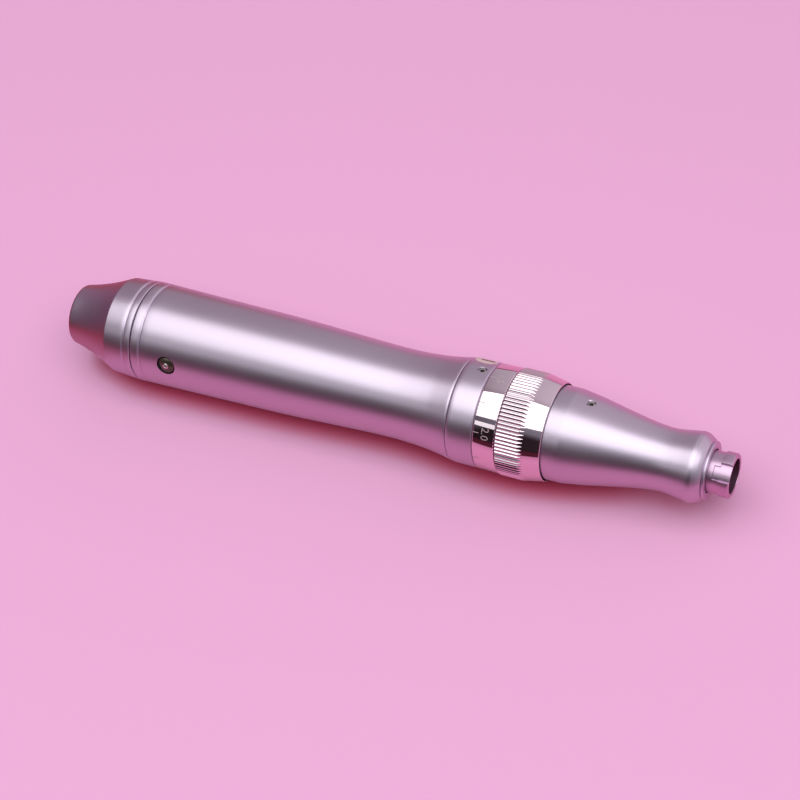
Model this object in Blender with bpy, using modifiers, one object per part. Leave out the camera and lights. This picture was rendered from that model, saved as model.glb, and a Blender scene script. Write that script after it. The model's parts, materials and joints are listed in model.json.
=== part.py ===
"""A microneedling pen: a cordless motor handle with a turning depth ring and a bayonet nose."""

import math

import bmesh
import bpy
from mathutils import Matrix, Vector

MM = 0.001

# Clearances and counts
GAP = 0.3 * MM              # left between pieces that touch
OVERRUN = 2.0 * MM          # how far a cutter runs past what it cuts
MERGE = 0.01 * MM
ROUND_STEPS = 30            # facets round the outer pieces
INNER_STEPS = 18            # facets round the hidden pieces
SMALL_STEPS = 10            # facets round screws and pins
SHARP_ANGLE = math.radians(30.0)

# Tail cap and charging socket
TAIL_TAPER_LENGTH = 12.9 * MM
TAIL_BAND_LENGTH = 7.3 * MM
TAIL_END_RADIUS = 7.42 * MM
TAIL_END_FILLET = 0.6 * MM
TAPER_HOLLOW = 0.45 * MM    # how far the taper's middle lies inside a straight cone
SHOULDER_DROP = 0.5 * MM    # shoulder below the body's rear radius
SHOULDER_FILLET = 0.5 * MM
TAIL_WALL = 1.9 * MM
SPIGOT_LENGTH = 4.8 * MM
SPIGOT_WALL = 1.15 * MM
GROOVE_WIDTH = 0.8 * MM
GROOVE_DEPTH = 0.35 * MM
TAIL_GROOVE_INSET = 2.0 * MM
EDGE_CHAMFER = 0.2 * MM
JACK_RADIUS = 4.0 * MM
JACK_BORE_RADIUS = 2.75 * MM
JACK_FLANGE_RADIUS = 5.5 * MM
JACK_FLANGE_THICKNESS = 1.2 * MM
JACK_BODY_LENGTH = 8.3 * MM
JACK_END_WALL = 2.0 * MM
JACK_PIN_RADIUS = 1.0 * MM
JACK_PIN_SET_BACK = 1.0 * MM
JACK_PIN_TAIL = 1.5 * MM
RING_NUT_THICKNESS = 1.3 * MM
RING_NUT_INSET = 0.2 * MM
RING_NUT_WALL = 1.3 * MM
RING_NUT_SLOT_WIDTH = 1.0 * MM
RING_NUT_SLOT_DEPTH = 0.5 * MM

# Body shell
BODY_REAR_RADIUS = 12.45 * MM
GRIP_REAR_RADIUS = 12.05 * MM
GRIP_MIDDLE_RADIUS = 11.78 * MM
GRIP_FRONT_RADIUS = 11.12 * MM
WAIST_RADIUS = 10.85 * MM
FLARE_RADIUS = 11.42 * MM
BODY_FRONT_RADIUS = 12.42 * MM
BODY_STATION_SHARES = (0.0, 0.31, 0.49, 0.69, 0.825, 0.93, 1.0)
BODY_WALL = 1.5 * MM
BODY_GROOVE_INSET = 2.4 * MM
WIDE_BORE_LENGTH = 24.5 * MM

# Power button and the board under it
BUTTON_ANGLE = 19.0         # degrees above the level of the axis, on the front side
BUTTON_INSET = 9.9 * MM     # from the body's rear edge to the button's middle
BUTTON_RADIUS = 2.1 * MM
BUTTON_PROUD = 0.1 * MM
BUTTON_DOME = 0.45 * MM
BUTTON_LIP = 0.65 * MM
BUTTON_LIP_THICKNESS = 0.6 * MM
BUTTON_STEM_RADIUS = 0.9 * MM
BUTTON_STEM_LENGTH = 0.4 * MM
BUTTON_TRAVEL = 0.6 * MM
SWITCH_WIDTH = 4.5 * MM
SWITCH_HEIGHT = 1.1 * MM
BOARD_LENGTH = 15.0 * MM
BOARD_WIDTH = 9.0 * MM
BOARD_THICKNESS = 0.9 * MM
BOARD_REAR_REACH = 5.0 * MM  # from the button's middle to the board's rear end
CHIP_LENGTH = 3.6 * MM
CHIP_WIDTH = 4.4 * MM
CHIP_HEIGHT = 1.2 * MM
CHIP_INSET = 1.2 * MM
SADDLE_CROWN = 0.5 * MM
SADDLE_DEPTH = 2.4 * MM
SADDLE_LENGTH = 12.0 * MM

# Cell, its holders and the leads
JACK_LEAD_ROOM = 1.2 * MM
HOLDER_FLOOR = 1.5 * MM
HOLDER_CUP = 3.0 * MM
HOLDER_HOLE_RADIUS = 2.0 * MM
HOLDER_NOTCH_WIDTH = 4.4 * MM
HOLDER_CUP_WALL = 0.8 * MM
CELL_LENGTH = 43.5 * MM
CELL_NIPPLE_RADIUS = 1.6 * MM
CELL_NIPPLE_HEIGHT = 0.8 * MM
CELL_FILLET = 0.5 * MM
LEAD_RADIUS = 0.45 * MM
LEAD_SPACING = 2.4 * MM
MOTOR_LEAD_ROOM = 1.6 * MM

# Motor and its mounting
TERMINAL_LENGTH = 2.6 * MM
TERMINAL_WIDTH = 1.8 * MM
TERMINAL_THICKNESS = 0.5 * MM
TERMINAL_OFFSET = 4.2 * MM
END_CAP_THICKNESS = 2.2 * MM
END_CAP_DROP = 0.5 * MM
MOTOR_LENGTH = 22.9 * MM
MOTOR_FILLET = 0.6 * MM
MOTOR_BOSS_RADIUS = 2.5 * MM
MOTOR_BOSS_HEIGHT = 1.3 * MM
MOTOR_BOSS_DEPTH = 4.0 * MM
SHAFT_RADIUS = 1.0 * MM
MOTOR_SLEEVE_WALL = 0.95 * MM
MOUNT_PLATE_THICKNESS = 2.0 * MM
SCREW_RADIUS = 0.8 * MM
SCREW_HEAD_RADIUS = 1.5 * MM
SCREW_HEAD_HEIGHT = 1.0 * MM
SCREW_GRIP_LENGTH = 2.0 * MM

# Index collar and depth ring
COLLAR_LENGTH = 6.5 * MM
COLLAR_REAR_DROP = 0.15 * MM
COLLAR_DROP = 0.33 * MM     # collar below the knurl's crest
GRUB_ANGLE = 108.0          # degrees from the front side, over the top
GRUB_RADIUS = 1.05 * MM
GRUB_SOCKET_RADIUS = 0.6 * MM
GRUB_SOCKET_DEPTH = 0.9 * MM
GRUB_SINK = 0.35 * MM       # grub screws lie this far below the surface
COLLAR_GRUB_INSET = 4.3 * MM
SCALE_LENGTH = 5.5 * MM
SCALE_REAR_DROP = 0.31 * MM
SCALE_FRONT_DROP = 0.23 * MM
UNDERCUT_WIDTH = 0.5 * MM
UNDERCUT_DEPTH = 0.3 * MM
KNURL_RADIUS = 12.93 * MM
KNURL_TEETH = 84
RING_STEPS = KNURL_TEETH // 2   # two teeth to each facet
KNURL_LENGTH = 5.4 * MM
KNURL_DEPTH = 0.33 * MM
KNURL_LAND = 0.36 * MM
KNURL_CUTTER_SHARE = 1.3    # half a cutter's depth, in groove depths
RING_TAPER_LENGTH = 5.45 * MM
RING_TAPER_DROP = 1.08 * MM
RING_LIP = 0.25 * MM
RING_WALL = 2.0 * MM
RING_WEB_THICKNESS = 2.8 * MM
DEPTH_RANGE = 2.5 * MM      # needle depth from zero to the deepest setting
CLIP_THICKNESS = 0.9 * MM
CLIP_WIDTH = 1.3 * MM
CLIP_MOUTH = 4.0 * MM
CLIP_SEAT_DEPTH = 0.5 * MM
O_RING_RADIUS = 0.45 * MM

# Guide sleeve
GUIDE_WALL = 2.4 * MM
GUIDE_SHOULDER = 0.7 * MM
GUIDE_REAR_WALL = 1.7 * MM
GUIDE_SCREW_LENGTH = 9.7 * MM
GUIDE_REACH = 0.55 * MM     # past the depth ring's front edge
BUSH_LENGTH = 6.4 * MM
BUSH_WALL = 1.2 * MM
BUSH_FLANGE = 1.4 * MM
BUSH_FLANGE_THICKNESS = 0.9 * MM

# Cam and push rod
STROKE = 2.5 * MM
CAM_SIDE_ROOM = 1.5 * MM
CAM_LIP = 1.5 * MM
CAM_HUB_LENGTH = 2.7 * MM
CAM_END_ROOM = 0.4 * MM
CAM_GRUB_RADIUS = 0.7 * MM
BALL_RADIUS = 1.2 * MM
BALL_SHOW = 0.3 * MM
HEAD_THICKNESS = 3.0 * MM
HEAD_HUB_RADIUS = 2.7 * MM
HEAD_HUB_LENGTH = 1.4 * MM
ROD_RADIUS = 1.5 * MM
ROD_NECK_RADIUS = 0.9 * MM
ROD_NECK_LENGTH = 1.4 * MM
ROD_KNOB_RADIUS = 1.8 * MM
ROD_KNOB_LENGTH = 1.2 * MM
ROD_TIP_INSET = 9.8 * MM    # from the tube's front face to the rod's tip
FOLLOWER_KEY_RADIUS = 0.8 * MM
FOLLOWER_KEY_ANGLE = 270.0
FOLLOWER_KEY_DEPTH = 1.2 * MM
SPRING_WIRE_RADIUS = 0.35 * MM
SPRING_RADIUS = 3.6 * MM
SPRING_TURNS = 6
SPRING_POINTS_A_TURN = 8

# Nose
NOSE_LENGTH = 37.45 * MM
NOSE_OVERLAP = 1.85 * MM    # how far the cone starts inside the depth ring
NOSE_SHOULDER_DROP = 0.05 * MM
NOSE_UPPER_RADIUS = 10.33 * MM
NOSE_MIDDLE_RADIUS = 8.5 * MM
NOSE_WAIST_RADIUS = 7.47 * MM
NOSE_FLARE_RADIUS = 8.42 * MM
NOSE_STATION_SHARES = (0.1, 0.255, 0.5, 0.717, 0.9)
NOSE_EDGE_SHARES = (0.925, 0.952, 0.976)
NOSE_EDGE_DROP_SHARES = (0.08, 0.42, 0.82)
NOSE_RIM_RADIUS = 6.95 * MM
NOSE_RIM_GROOVE = 0.3 * MM
NOSE_GRUB_INSET = 8.05 * MM  # from the depth ring's front edge
CARRIER_WALL = 1.1 * MM
CARRIER_WEB = 1.5 * MM
CARRIER_STEP = 2.0 * MM
CARRIER_SPIGOT_LENGTH = 9.5 * MM
CARRIER_SPIGOT_WALL = 1.5 * MM
CARRIER_END_WALL = 2.0 * MM
ROD_PASSAGE = 0.7 * MM
KEY_RADIUS = 1.0 * MM
KEY_INSET = 3.5 * MM
KEY_DEPTH = 1.3 * MM
TUBE_RADIUS = 4.91 * MM
TUBE_BORE_RADIUS = 4.19 * MM
TUBE_REACH = 5.2 * MM
TUBE_COLLAR = 0.8 * MM
TUBE_COLLAR_LENGTH = 6.0 * MM
BAYONET_LIP = 0.36 * MM
BAYONET_LIP_LENGTH = 2.6 * MM
BAYONET_CHAMFER = 0.25 * MM
BAYONET_FLOOR = 0.34 * MM
BAYONET_CHANNELS = 2
CHANNEL_ANGLE = 58.0        # where the first channel's middle lies
CHANNEL_HALF_ANGLE = 24.0
POCKET_UPPER_ANGLE = 14.0
POCKET_LOWER_ANGLE = 22.0
POCKET_LENGTH = 1.4 * MM
POCKET_RISE = 0.1 * MM       # pocket floor above the channel's

# Stations along the pen, measured from the tail's end
wall_front = RING_NUT_INSET + RING_NUT_THICKNESS + GAP + TAIL_WALL
nut_recess = RING_NUT_INSET + RING_NUT_THICKNESS + GAP
jack_flange_rear = wall_front + GAP
jack_flange_front = jack_flange_rear + JACK_FLANGE_THICKNESS
jack_front = jack_flange_front + JACK_BODY_LENGTH
pin_front = jack_front + JACK_PIN_TAIL
tail_front = TAIL_TAPER_LENGTH + TAIL_BAND_LENGTH
spigot_front = tail_front + SPIGOT_LENGTH
body_rear = tail_front + GAP
holder_rear = pin_front + JACK_LEAD_ROOM
cell_rear = holder_rear + HOLDER_FLOOR + GAP
cell_front = cell_rear + CELL_LENGTH
front_holder_front = cell_front + CELL_NIPPLE_HEIGHT + GAP + HOLDER_FLOOR
terminal_rear = front_holder_front + MOTOR_LEAD_ROOM
end_cap_rear = terminal_rear + TERMINAL_LENGTH + GAP
motor_rear = end_cap_rear + END_CAP_THICKNESS + GAP
motor_front = motor_rear + MOTOR_LENGTH
plate_rear = motor_front + GAP
plate_front = plate_rear + MOUNT_PLATE_THICKNESS
body_front = plate_rear + GUIDE_SCREW_LENGTH
body_length = body_front - body_rear
button_x = body_rear + BUTTON_INSET
collar_rear = body_front + GAP
collar_front = collar_rear + COLLAR_LENGTH
ring_rear = collar_front + GAP
web_front = ring_rear + RING_WEB_THICKNESS
scale_front = ring_rear + SCALE_LENGTH
knurl_front = scale_front + KNURL_LENGTH
ring_front = knurl_front + RING_TAPER_LENGTH
guide_front = ring_front + GUIDE_REACH
clip_rear = web_front + GAP
clip_front = clip_rear + CLIP_THICKNESS
carrier_rear = clip_front + GAP + DEPTH_RANGE / 2
key_x = carrier_rear + KEY_INSET
carrier_web = guide_front + GAP + DEPTH_RANGE / 2
carrier_step = carrier_web + CARRIER_WEB
carrier_front = carrier_step + CARRIER_SPIGOT_LENGTH
nose_rear = ring_front - NOSE_OVERLAP
nose_front = ring_front + NOSE_LENGTH
counterbore_rear = nose_rear - DEPTH_RANGE / 2 - GAP
tube_rear = carrier_front + GAP
tube_front = nose_front + TUBE_REACH
pen_length = tube_front

# Radii, from the outside in
spigot_radius = BODY_REAR_RADIUS - BODY_WALL - GAP
spigot_bore = spigot_radius - SPIGOT_WALL
wide_bore = BODY_REAR_RADIUS - BODY_WALL
main_bore = WAIST_RADIUS - BODY_WALL
motor_sleeve_radius = main_bore - GAP
motor_radius = motor_sleeve_radius - MOTOR_SLEEVE_WALL - GAP
collar_radius = KNURL_RADIUS - COLLAR_DROP
ring_front_radius = KNURL_RADIUS - RING_TAPER_DROP
ring_bore = KNURL_RADIUS - SCALE_REAR_DROP - RING_WALL
nose_bore_radius = ring_front_radius - RING_LIP
nose_rear_radius = nose_bore_radius - GAP
carrier_radius = ring_bore - GAP
carrier_bore = carrier_radius - CARRIER_WALL
guide_radius = carrier_bore - GAP
guide_bore = guide_radius - GUIDE_WALL
guide_rear_radius = guide_radius + GUIDE_SHOULDER
guide_rear_bore = guide_rear_radius - GUIDE_REAR_WALL
carrier_spigot_radius = carrier_radius - CARRIER_STEP
cam_radius = guide_bore - CAM_SIDE_ROOM
follower_offset = cam_radius - CAM_LIP
head_radius = guide_bore - GAP
screw_circle = guide_bore - GAP - SCREW_HEAD_RADIUS
screw_hole = SCREW_RADIUS + GAP
bush_bore = ROD_RADIUS + GAP
bush_radius = bush_bore + BUSH_WALL
tube_collar_radius = TUBE_RADIUS + TUBE_COLLAR
axis_height = KNURL_RADIUS * math.cos(math.pi / RING_STEPS)

# The stack under the button, as distances from the pen's axis
button_hole = BUTTON_RADIUS + GAP
lip_radius = BUTTON_RADIUS + BUTTON_LIP
lip_top = math.sqrt(wide_bore ** 2 - lip_radius ** 2) - GAP
lip_bottom = lip_top - BUTTON_LIP_THICKNESS
stem_bottom = lip_bottom - BUTTON_STEM_LENGTH
switch_top = stem_bottom - BUTTON_TRAVEL - GAP
switch_bottom = switch_top - SWITCH_HEIGHT
board_top = switch_bottom - GAP
board_bottom = board_top - BOARD_THICKNESS
saddle_top = board_bottom - GAP
cell_radius = saddle_top - SADDLE_CROWN - GAP
board_rear = button_x - BOARD_REAR_REACH
board_front = board_rear + BOARD_LENGTH

# Cam, follower and spring
screw_head_front = plate_front + GAP + SCREW_HEAD_HEIGHT
cam_rear = screw_head_front + CAM_END_ROOM
cam_tilt = math.atan2(STROKE, 2 * follower_offset)
cam_middle = cam_rear + CAM_HUB_LENGTH + cam_radius * math.tan(cam_tilt)
ball_x = cam_middle + STROKE / 2 + (BALL_RADIUS + GAP) / math.cos(cam_tilt)
head_rear = ball_x - BALL_SHOW
head_front = head_rear + HEAD_THICKNESS
bush_rear = guide_front - BUSH_LENGTH
bush_flange_rear = bush_rear - GAP - BUSH_FLANGE_THICKNESS
spring_rear = head_front + GAP
spring_front = bush_flange_rear - GAP
rod_front = tube_front - ROD_TIP_INSET
follower_key_x = (head_rear + head_front) / 2


def clear_scene():
    for item in list(bpy.data.objects):
        bpy.data.objects.remove(item, do_unlink=True)


clear_scene()
pen = bpy.data.collections.new("microneedling_pen")
cutters = bpy.data.collections.new("cutters")
bpy.context.scene.collection.children.link(pen)
bpy.context.scene.collection.children.link(cutters)


def finish(name, color, roughness, metallic):
    """A plain material in the part's own colour."""
    material = bpy.data.materials.new(name)
    material.use_nodes = True
    shader = material.node_tree.nodes["Principled BSDF"]
    shader.inputs["Base Color"].default_value = (*color, 1.0)
    shader.inputs["Roughness"].default_value = roughness
    shader.inputs["Metallic"].default_value = metallic
    material.diffuse_color = (*color, 1.0)
    return material


satin = finish("satin_lavender_aluminium", (0.70, 0.62, 0.72), 0.32, 1.0)
chrome = finish("polished_chrome", (0.85, 0.83, 0.85), 0.06, 1.0)
steel = finish("machined_steel", (0.55, 0.55, 0.57), 0.3, 1.0)
dark_gloss = finish("dark_gloss_button", (0.03, 0.03, 0.035), 0.12, 0.3)
black_plastic = finish("black_plastic", (0.03, 0.03, 0.03), 0.5, 0.0)
white_plastic = finish("white_plastic", (0.82, 0.82, 0.80), 0.4, 0.0)
brass = finish("brass", (0.75, 0.58, 0.28), 0.3, 1.0)
green_board = finish("green_board", (0.03, 0.22, 0.10), 0.45, 0.0)
blue_wrap = finish("blue_cell_wrap", (0.05, 0.18, 0.50), 0.35, 0.0)
rubber = finish("black_rubber", (0.02, 0.02, 0.02), 0.7, 0.0)
red_lead = finish("red_lead", (0.65, 0.03, 0.03), 0.5, 0.0)
black_lead = finish("black_lead", (0.02, 0.02, 0.02), 0.5, 0.0)


# Frames: the pen's own frame has Z along the axis, from the tail to the nose
def empty(name, parent=None, frame=None):
    item = bpy.data.objects.new(name, None)
    pen.objects.link(item)
    item.parent = parent
    item.matrix_basis = frame if frame else Matrix.Identity(4)
    return item


def along(x):
    """The frame on the pen's axis at station x."""
    return Matrix.Translation((0, 0, x))


def radial(x, angle):
    """A frame whose Z points straight out of the axis at station x, angle degrees up from the front side."""
    turn = Matrix.Rotation(-math.pi / 2 - math.radians(angle), 4, "Z")
    return along(x) @ turn @ Matrix.Rotation(math.pi / 2, 4, "Y")


button_frame = radial(button_x, BUTTON_ANGLE)
board_frame = radial(0, BUTTON_ANGLE)
pen_axis = empty("pen_axis")
pen_axis.location = (-pen_length / 2, 0, axis_height)
pen_axis.rotation_euler = (0, math.pi / 2, 0)
ring_axis = empty("depth_ring_axis", pen_axis, along(ring_rear))
nose_axis = empty("nose_slide_axis", pen_axis, along(nose_rear))
rotor_axis = empty("rotor_axis", pen_axis, along(motor_front))
rod_axis = empty("push_rod_axis", pen_axis, along(head_rear))
button_axis = empty("power_button_axis", pen_axis, button_frame)


def place(item, parent, frame, collection=None):
    (collection or pen).objects.link(item)
    start = Matrix.Identity(4) if parent == pen_axis else parent.matrix_basis
    item.parent = parent
    item.matrix_basis = start.inverted() @ frame


def paint(item, material):
    item.data.materials.clear()
    item.data.materials.append(material)


def shade(mesh):
    mesh.shade_smooth()
    mesh.set_sharp_from_angle(angle=SHARP_ANGLE)


# Outlines
def filleted(outline, arc_points=1):
    """Round each corner that carries a third number, its fillet radius."""
    corners = [Vector(point[:2]) for point in outline]
    result = []
    for index, point in enumerate(outline):
        here = corners[index]
        radius = point[2] if len(point) > 2 else 0
        if not radius:
            result.append(tuple(here))
            continue
        back = corners[index - 1] - here
        ahead = corners[(index + 1) % len(corners)] - here
        half = back.angle(ahead) / 2
        reach = min(radius / math.tan(half), back.length / 2, ahead.length / 2)
        start = here + back.normalized() * reach
        end = here + ahead.normalized() * reach
        for step in range(arc_points + 2):
            share = step / (arc_points + 1)
            first = start.lerp(here, share)
            second = here.lerp(end, share)
            result.append(tuple(first.lerp(second, share)))
    return result


def flowing(stations, pieces):
    """Points on a smooth curve through (x, radius) stations, each span cut into equal pieces."""
    slopes = []
    for index in range(len(stations)):
        low = stations[max(index - 1, 0)]
        high = stations[min(index + 1, len(stations) - 1)]
        slopes.append((high[1] - low[1]) / (high[0] - low[0]))
    points = [stations[0]]
    for (x0, r0), (x1, r1), m0, m1 in zip(stations, stations[1:], slopes, slopes[1:]):
        span = x1 - x0
        for step in range(1, pieces + 1):
            t = step / pieces
            rise = (2 * t ** 3 - 3 * t ** 2 + 1) * r0 + (3 * t ** 2 - 2 * t ** 3) * r1
            bend = (t ** 3 - 2 * t ** 2 + t) * m0 + (t ** 3 - t ** 2) * m1
            points.append((x0 + span * t, rise + span * bend))
    return points


def radius_at(points, x):
    """The radius of a chain of (x, radius) points at station x."""
    for (x0, r0), (x1, r1) in zip(points, points[1:]):
        if x <= x1:
            return r0 + (r1 - r0) * (x - x0) / (x1 - x0)
    return points[-1][1]


def with_groove(points, x, width, depth):
    """The same chain with a V-groove cut at station x."""
    before = [point for point in points if point[0] < x - width / 2]
    after = [point for point in points if point[0] > x + width / 2]
    rim_rear = (x - width / 2, radius_at(points, x - width / 2))
    root = (x, radius_at(points, x) - depth)
    rim_front = (x + width / 2, radius_at(points, x + width / 2))
    return before + [rim_rear, root, rim_front] + after


# Builders
def turned(name, outline, material, parent=pen_axis, frame=None, steps=ROUND_STEPS):
    """Turn an outline of (x, radius) points, outer side first from tail to nose, about the frame's Z."""
    profile = list(reversed(outline))
    mesh = bpy.data.meshes.new(name)
    vertices = [(radius, 0, x) for x, radius in profile]
    edges = [(index, index + 1) for index in range(len(vertices) - 1)]
    if profile[0][1] > 0 or profile[-1][1] > 0:
        edges.append((len(vertices) - 1, 0))
    mesh.from_pydata(vertices, edges, [])
    item = bpy.data.objects.new(name, mesh)
    half_facet = Matrix.Rotation(math.pi / steps, 4, "Z")
    place(item, parent, (frame if frame else Matrix.Identity(4)) @ half_facet)
    screw = item.modifiers.new("turn", "SCREW")
    screw.axis = "Z"
    screw.steps = steps
    screw.render_steps = steps
    screw.use_merge_vertices = True
    screw.merge_threshold = MERGE
    solid = bpy.data.meshes.new_from_object(item.evaluated_get(bpy.context.evaluated_depsgraph_get()))
    item.modifiers.clear()
    item.data = solid
    solid.name = name
    shade(solid)
    paint(item, material)
    return item


def block(name, low, high, frame, material=None, parent=pen_axis, collection=None):
    """A box between two corners of a frame."""
    mesh = bpy.data.meshes.new(name)
    shape = bmesh.new()
    bmesh.ops.create_cube(shape, size=1.0)
    low, high = Vector(low), Vector(high)
    bmesh.ops.scale(shape, vec=high - low, verts=shape.verts)
    bmesh.ops.translate(shape, vec=(low + high) / 2, verts=shape.verts)
    shape.to_mesh(mesh)
    shape.free()
    item = bpy.data.objects.new(name, mesh)
    place(item, parent, frame, collection)
    if material:
        paint(item, material)
    return item


def tool(item):
    """Mark an object as a cutter."""
    item.hide_render = True
    item.display_type = "WIRE"
    return item


def round_tool(name, radius, bottom, top, frame, steps=SMALL_STEPS, parent=pen_axis):
    mesh = bpy.data.meshes.new(name)
    shape = bmesh.new()
    bmesh.ops.create_cone(shape, cap_ends=True, segments=steps, radius1=radius, radius2=radius,
                          depth=top - bottom)
    bmesh.ops.translate(shape, vec=(0, 0, (top + bottom) / 2), verts=shape.verts)
    shape.to_mesh(mesh)
    shape.free()
    item = bpy.data.objects.new(name, mesh)
    place(item, parent, frame, cutters)
    return tool(item)


def block_tool(name, low, high, frame, parent=pen_axis):
    return tool(block(name, low, high, frame, parent=parent, collection=cutters))


def sector_tool(name, inner, outer, bottom, top, start, end, parent=pen_axis):
    """A piece of a ring round the pen's axis, from one angle to another."""
    mesh = bpy.data.meshes.new(name)
    shape = bmesh.new()
    corners = [(inner, bottom), (outer, bottom), (outer, top), (inner, top)]
    face = shape.faces.new([shape.verts.new((radius, 0, x)) for radius, x in corners])
    geometry = [face] + list(face.edges) + list(face.verts)
    bmesh.ops.spin(shape, geom=geometry, cent=(0, 0, 0), axis=(0, 0, 1),
                   angle=math.radians(end - start), steps=SMALL_STEPS)
    bmesh.ops.recalc_face_normals(shape, faces=shape.faces)
    shape.to_mesh(mesh)
    shape.free()
    item = bpy.data.objects.new(name, mesh)
    turn = Matrix.Rotation(-math.pi / 2 - math.radians(end), 4, "Z")
    place(item, parent, turn, cutters)
    return tool(item)


def cut(item, *tools):
    for cutter in tools:
        boolean = item.modifiers.new(cutter.name, "BOOLEAN")
        boolean.operation = "DIFFERENCE"
        boolean.solver = "EXACT"
        boolean.object = cutter


def wire(name, points, radius, material, sides=1, parent=pen_axis, frame=None):
    """A round wire along a chain of points, with closed ends."""
    curve = bpy.data.curves.new(name, "CURVE")
    curve.dimensions = "3D"
    curve.bevel_depth = radius
    curve.bevel_resolution = sides
    curve.use_fill_caps = True
    spline = curve.splines.new("POLY")
    spline.points.add(len(points) - 1)
    for point, where in zip(spline.points, points):
        point.co = (*where, 1)
    item = bpy.data.objects.new(name, curve)
    place(item, parent, frame if frame else Matrix.Identity(4))
    curve.materials.append(material)
    return item


def smooth_route(points, pieces):
    """A smooth route through a short list of points, with no loop where two stand close together."""
    points = [Vector(point) for point in points]
    last = len(points) - 1
    slopes = []
    for index, here in enumerate(points):
        before, after = points[max(index - 1, 0)], points[min(index + 1, last)]
        slopes.append((after - before) / ((here - before).length + (after - here).length))
    route = [points[0]]
    for index in range(last):
        here, after = points[index], points[index + 1]
        out, into = slopes[index] * (after - here).length, slopes[index + 1] * (after - here).length
        for step in range(1, pieces + 1):
            t = step / pieces
            bend = out * (t ** 3 - 2 * t ** 2 + t) + into * (t ** 3 - t ** 2)
            route.append(here + (after - here) * (3 * t ** 2 - 2 * t ** 3) + bend)
    return route


def grub_screw(name, x, surface, parent):
    """A headless screw with a hexagon socket, sunk below the surface round it."""
    top = surface - GRUB_SINK
    bottom = {pen_axis: guide_radius, nose_axis: carrier_spigot_radius}[parent] + GAP
    outline = filleted([(bottom, 0), (bottom, GRUB_RADIUS, EDGE_CHAMFER), (top, GRUB_RADIUS),
                        (top, 0)], 0)
    frame = radial(x, GRUB_ANGLE)
    screw = turned(name, outline, steel, parent, frame, SMALL_STEPS)
    socket = round_tool(name + "_socket", GRUB_SOCKET_RADIUS, top - GRUB_SOCKET_DEPTH,
                        top + OVERRUN, frame, 6, parent)
    cut(screw, socket)
    return round_tool(name + "_hole", GRUB_RADIUS + GAP, bottom - GAP - OVERRUN / 2,
                      surface + OVERRUN, frame, SMALL_STEPS, parent)


# Tail cap
shoulder_radius = BODY_REAR_RADIUS - SHOULDER_DROP
taper_pieces = 4
taper = []
for step in range(1, taper_pieces):
    share = step / taper_pieces
    straight = TAIL_END_RADIUS + (shoulder_radius - TAIL_END_RADIUS) * share
    taper.append((TAIL_TAPER_LENGTH * share, straight - TAPER_HOLLOW * 4 * share * (1 - share)))
band = [(TAIL_TAPER_LENGTH, shoulder_radius), (tail_front - EDGE_CHAMFER, BODY_REAR_RADIUS)]
band = with_groove(band, tail_front - TAIL_GROOVE_INSET, GROOVE_WIDTH, GROOVE_DEPTH)
recess_radius = JACK_RADIUS + GAP + RING_NUT_WALL + GAP
cavity_rear_radius = TAIL_END_RADIUS - SPIGOT_WALL
tail_outline = filleted(
    [(0, recess_radius), (0, TAIL_END_RADIUS, TAIL_END_FILLET)]
    + taper
    + [(*band[0], SHOULDER_FILLET)]
    + band[1:]
    + [(tail_front, BODY_REAR_RADIUS - EDGE_CHAMFER), (tail_front, spigot_radius),
       (spigot_front, spigot_radius), (spigot_front, spigot_bore),
       (TAIL_TAPER_LENGTH, spigot_bore), (wall_front + GAP, cavity_rear_radius),
       (wall_front, cavity_rear_radius), (wall_front, JACK_RADIUS + GAP),
       (nut_recess, JACK_RADIUS + GAP), (nut_recess, recess_radius)])
turned("tail_cap", tail_outline, satin)

# Charging socket, with its centre pin and ring nut
jack_rear = RING_NUT_INSET
jack_outline = [
    (jack_rear, JACK_BORE_RADIUS), (jack_rear, JACK_RADIUS), (jack_flange_rear, JACK_RADIUS),
    (jack_flange_rear, JACK_FLANGE_RADIUS), (jack_flange_front, JACK_FLANGE_RADIUS),
    (jack_flange_front, JACK_RADIUS), (jack_front, JACK_RADIUS),
    (jack_front, JACK_PIN_RADIUS + GAP), (jack_front - JACK_END_WALL, JACK_PIN_RADIUS + GAP),
    (jack_front - JACK_END_WALL, JACK_BORE_RADIUS)]
turned("charge_socket", jack_outline, black_plastic, steps=INNER_STEPS)
pin_rear = jack_rear + JACK_PIN_SET_BACK
pin_outline = filleted([(pin_rear, 0), (pin_rear, JACK_PIN_RADIUS, JACK_PIN_RADIUS / 2),
                        (pin_front, JACK_PIN_RADIUS), (pin_front, 0)])
turned("socket_centre_pin", pin_outline, brass, steps=SMALL_STEPS)
nut_inner, nut_outer = JACK_RADIUS + GAP, recess_radius - GAP
nut_front = RING_NUT_INSET + RING_NUT_THICKNESS
ring_nut = turned("socket_ring_nut", [(RING_NUT_INSET, nut_inner), (RING_NUT_INSET, nut_outer),
                                      (nut_front, nut_outer), (nut_front, nut_inner)],
                  steel, steps=INNER_STEPS)
cut(ring_nut, block_tool("ring_nut_slot",
                         (-recess_radius, -RING_NUT_SLOT_WIDTH / 2, RING_NUT_INSET - OVERRUN),
                         (recess_radius, RING_NUT_SLOT_WIDTH / 2,
                          RING_NUT_INSET + RING_NUT_SLOT_DEPTH),
                         Matrix.Identity(4)))

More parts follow.
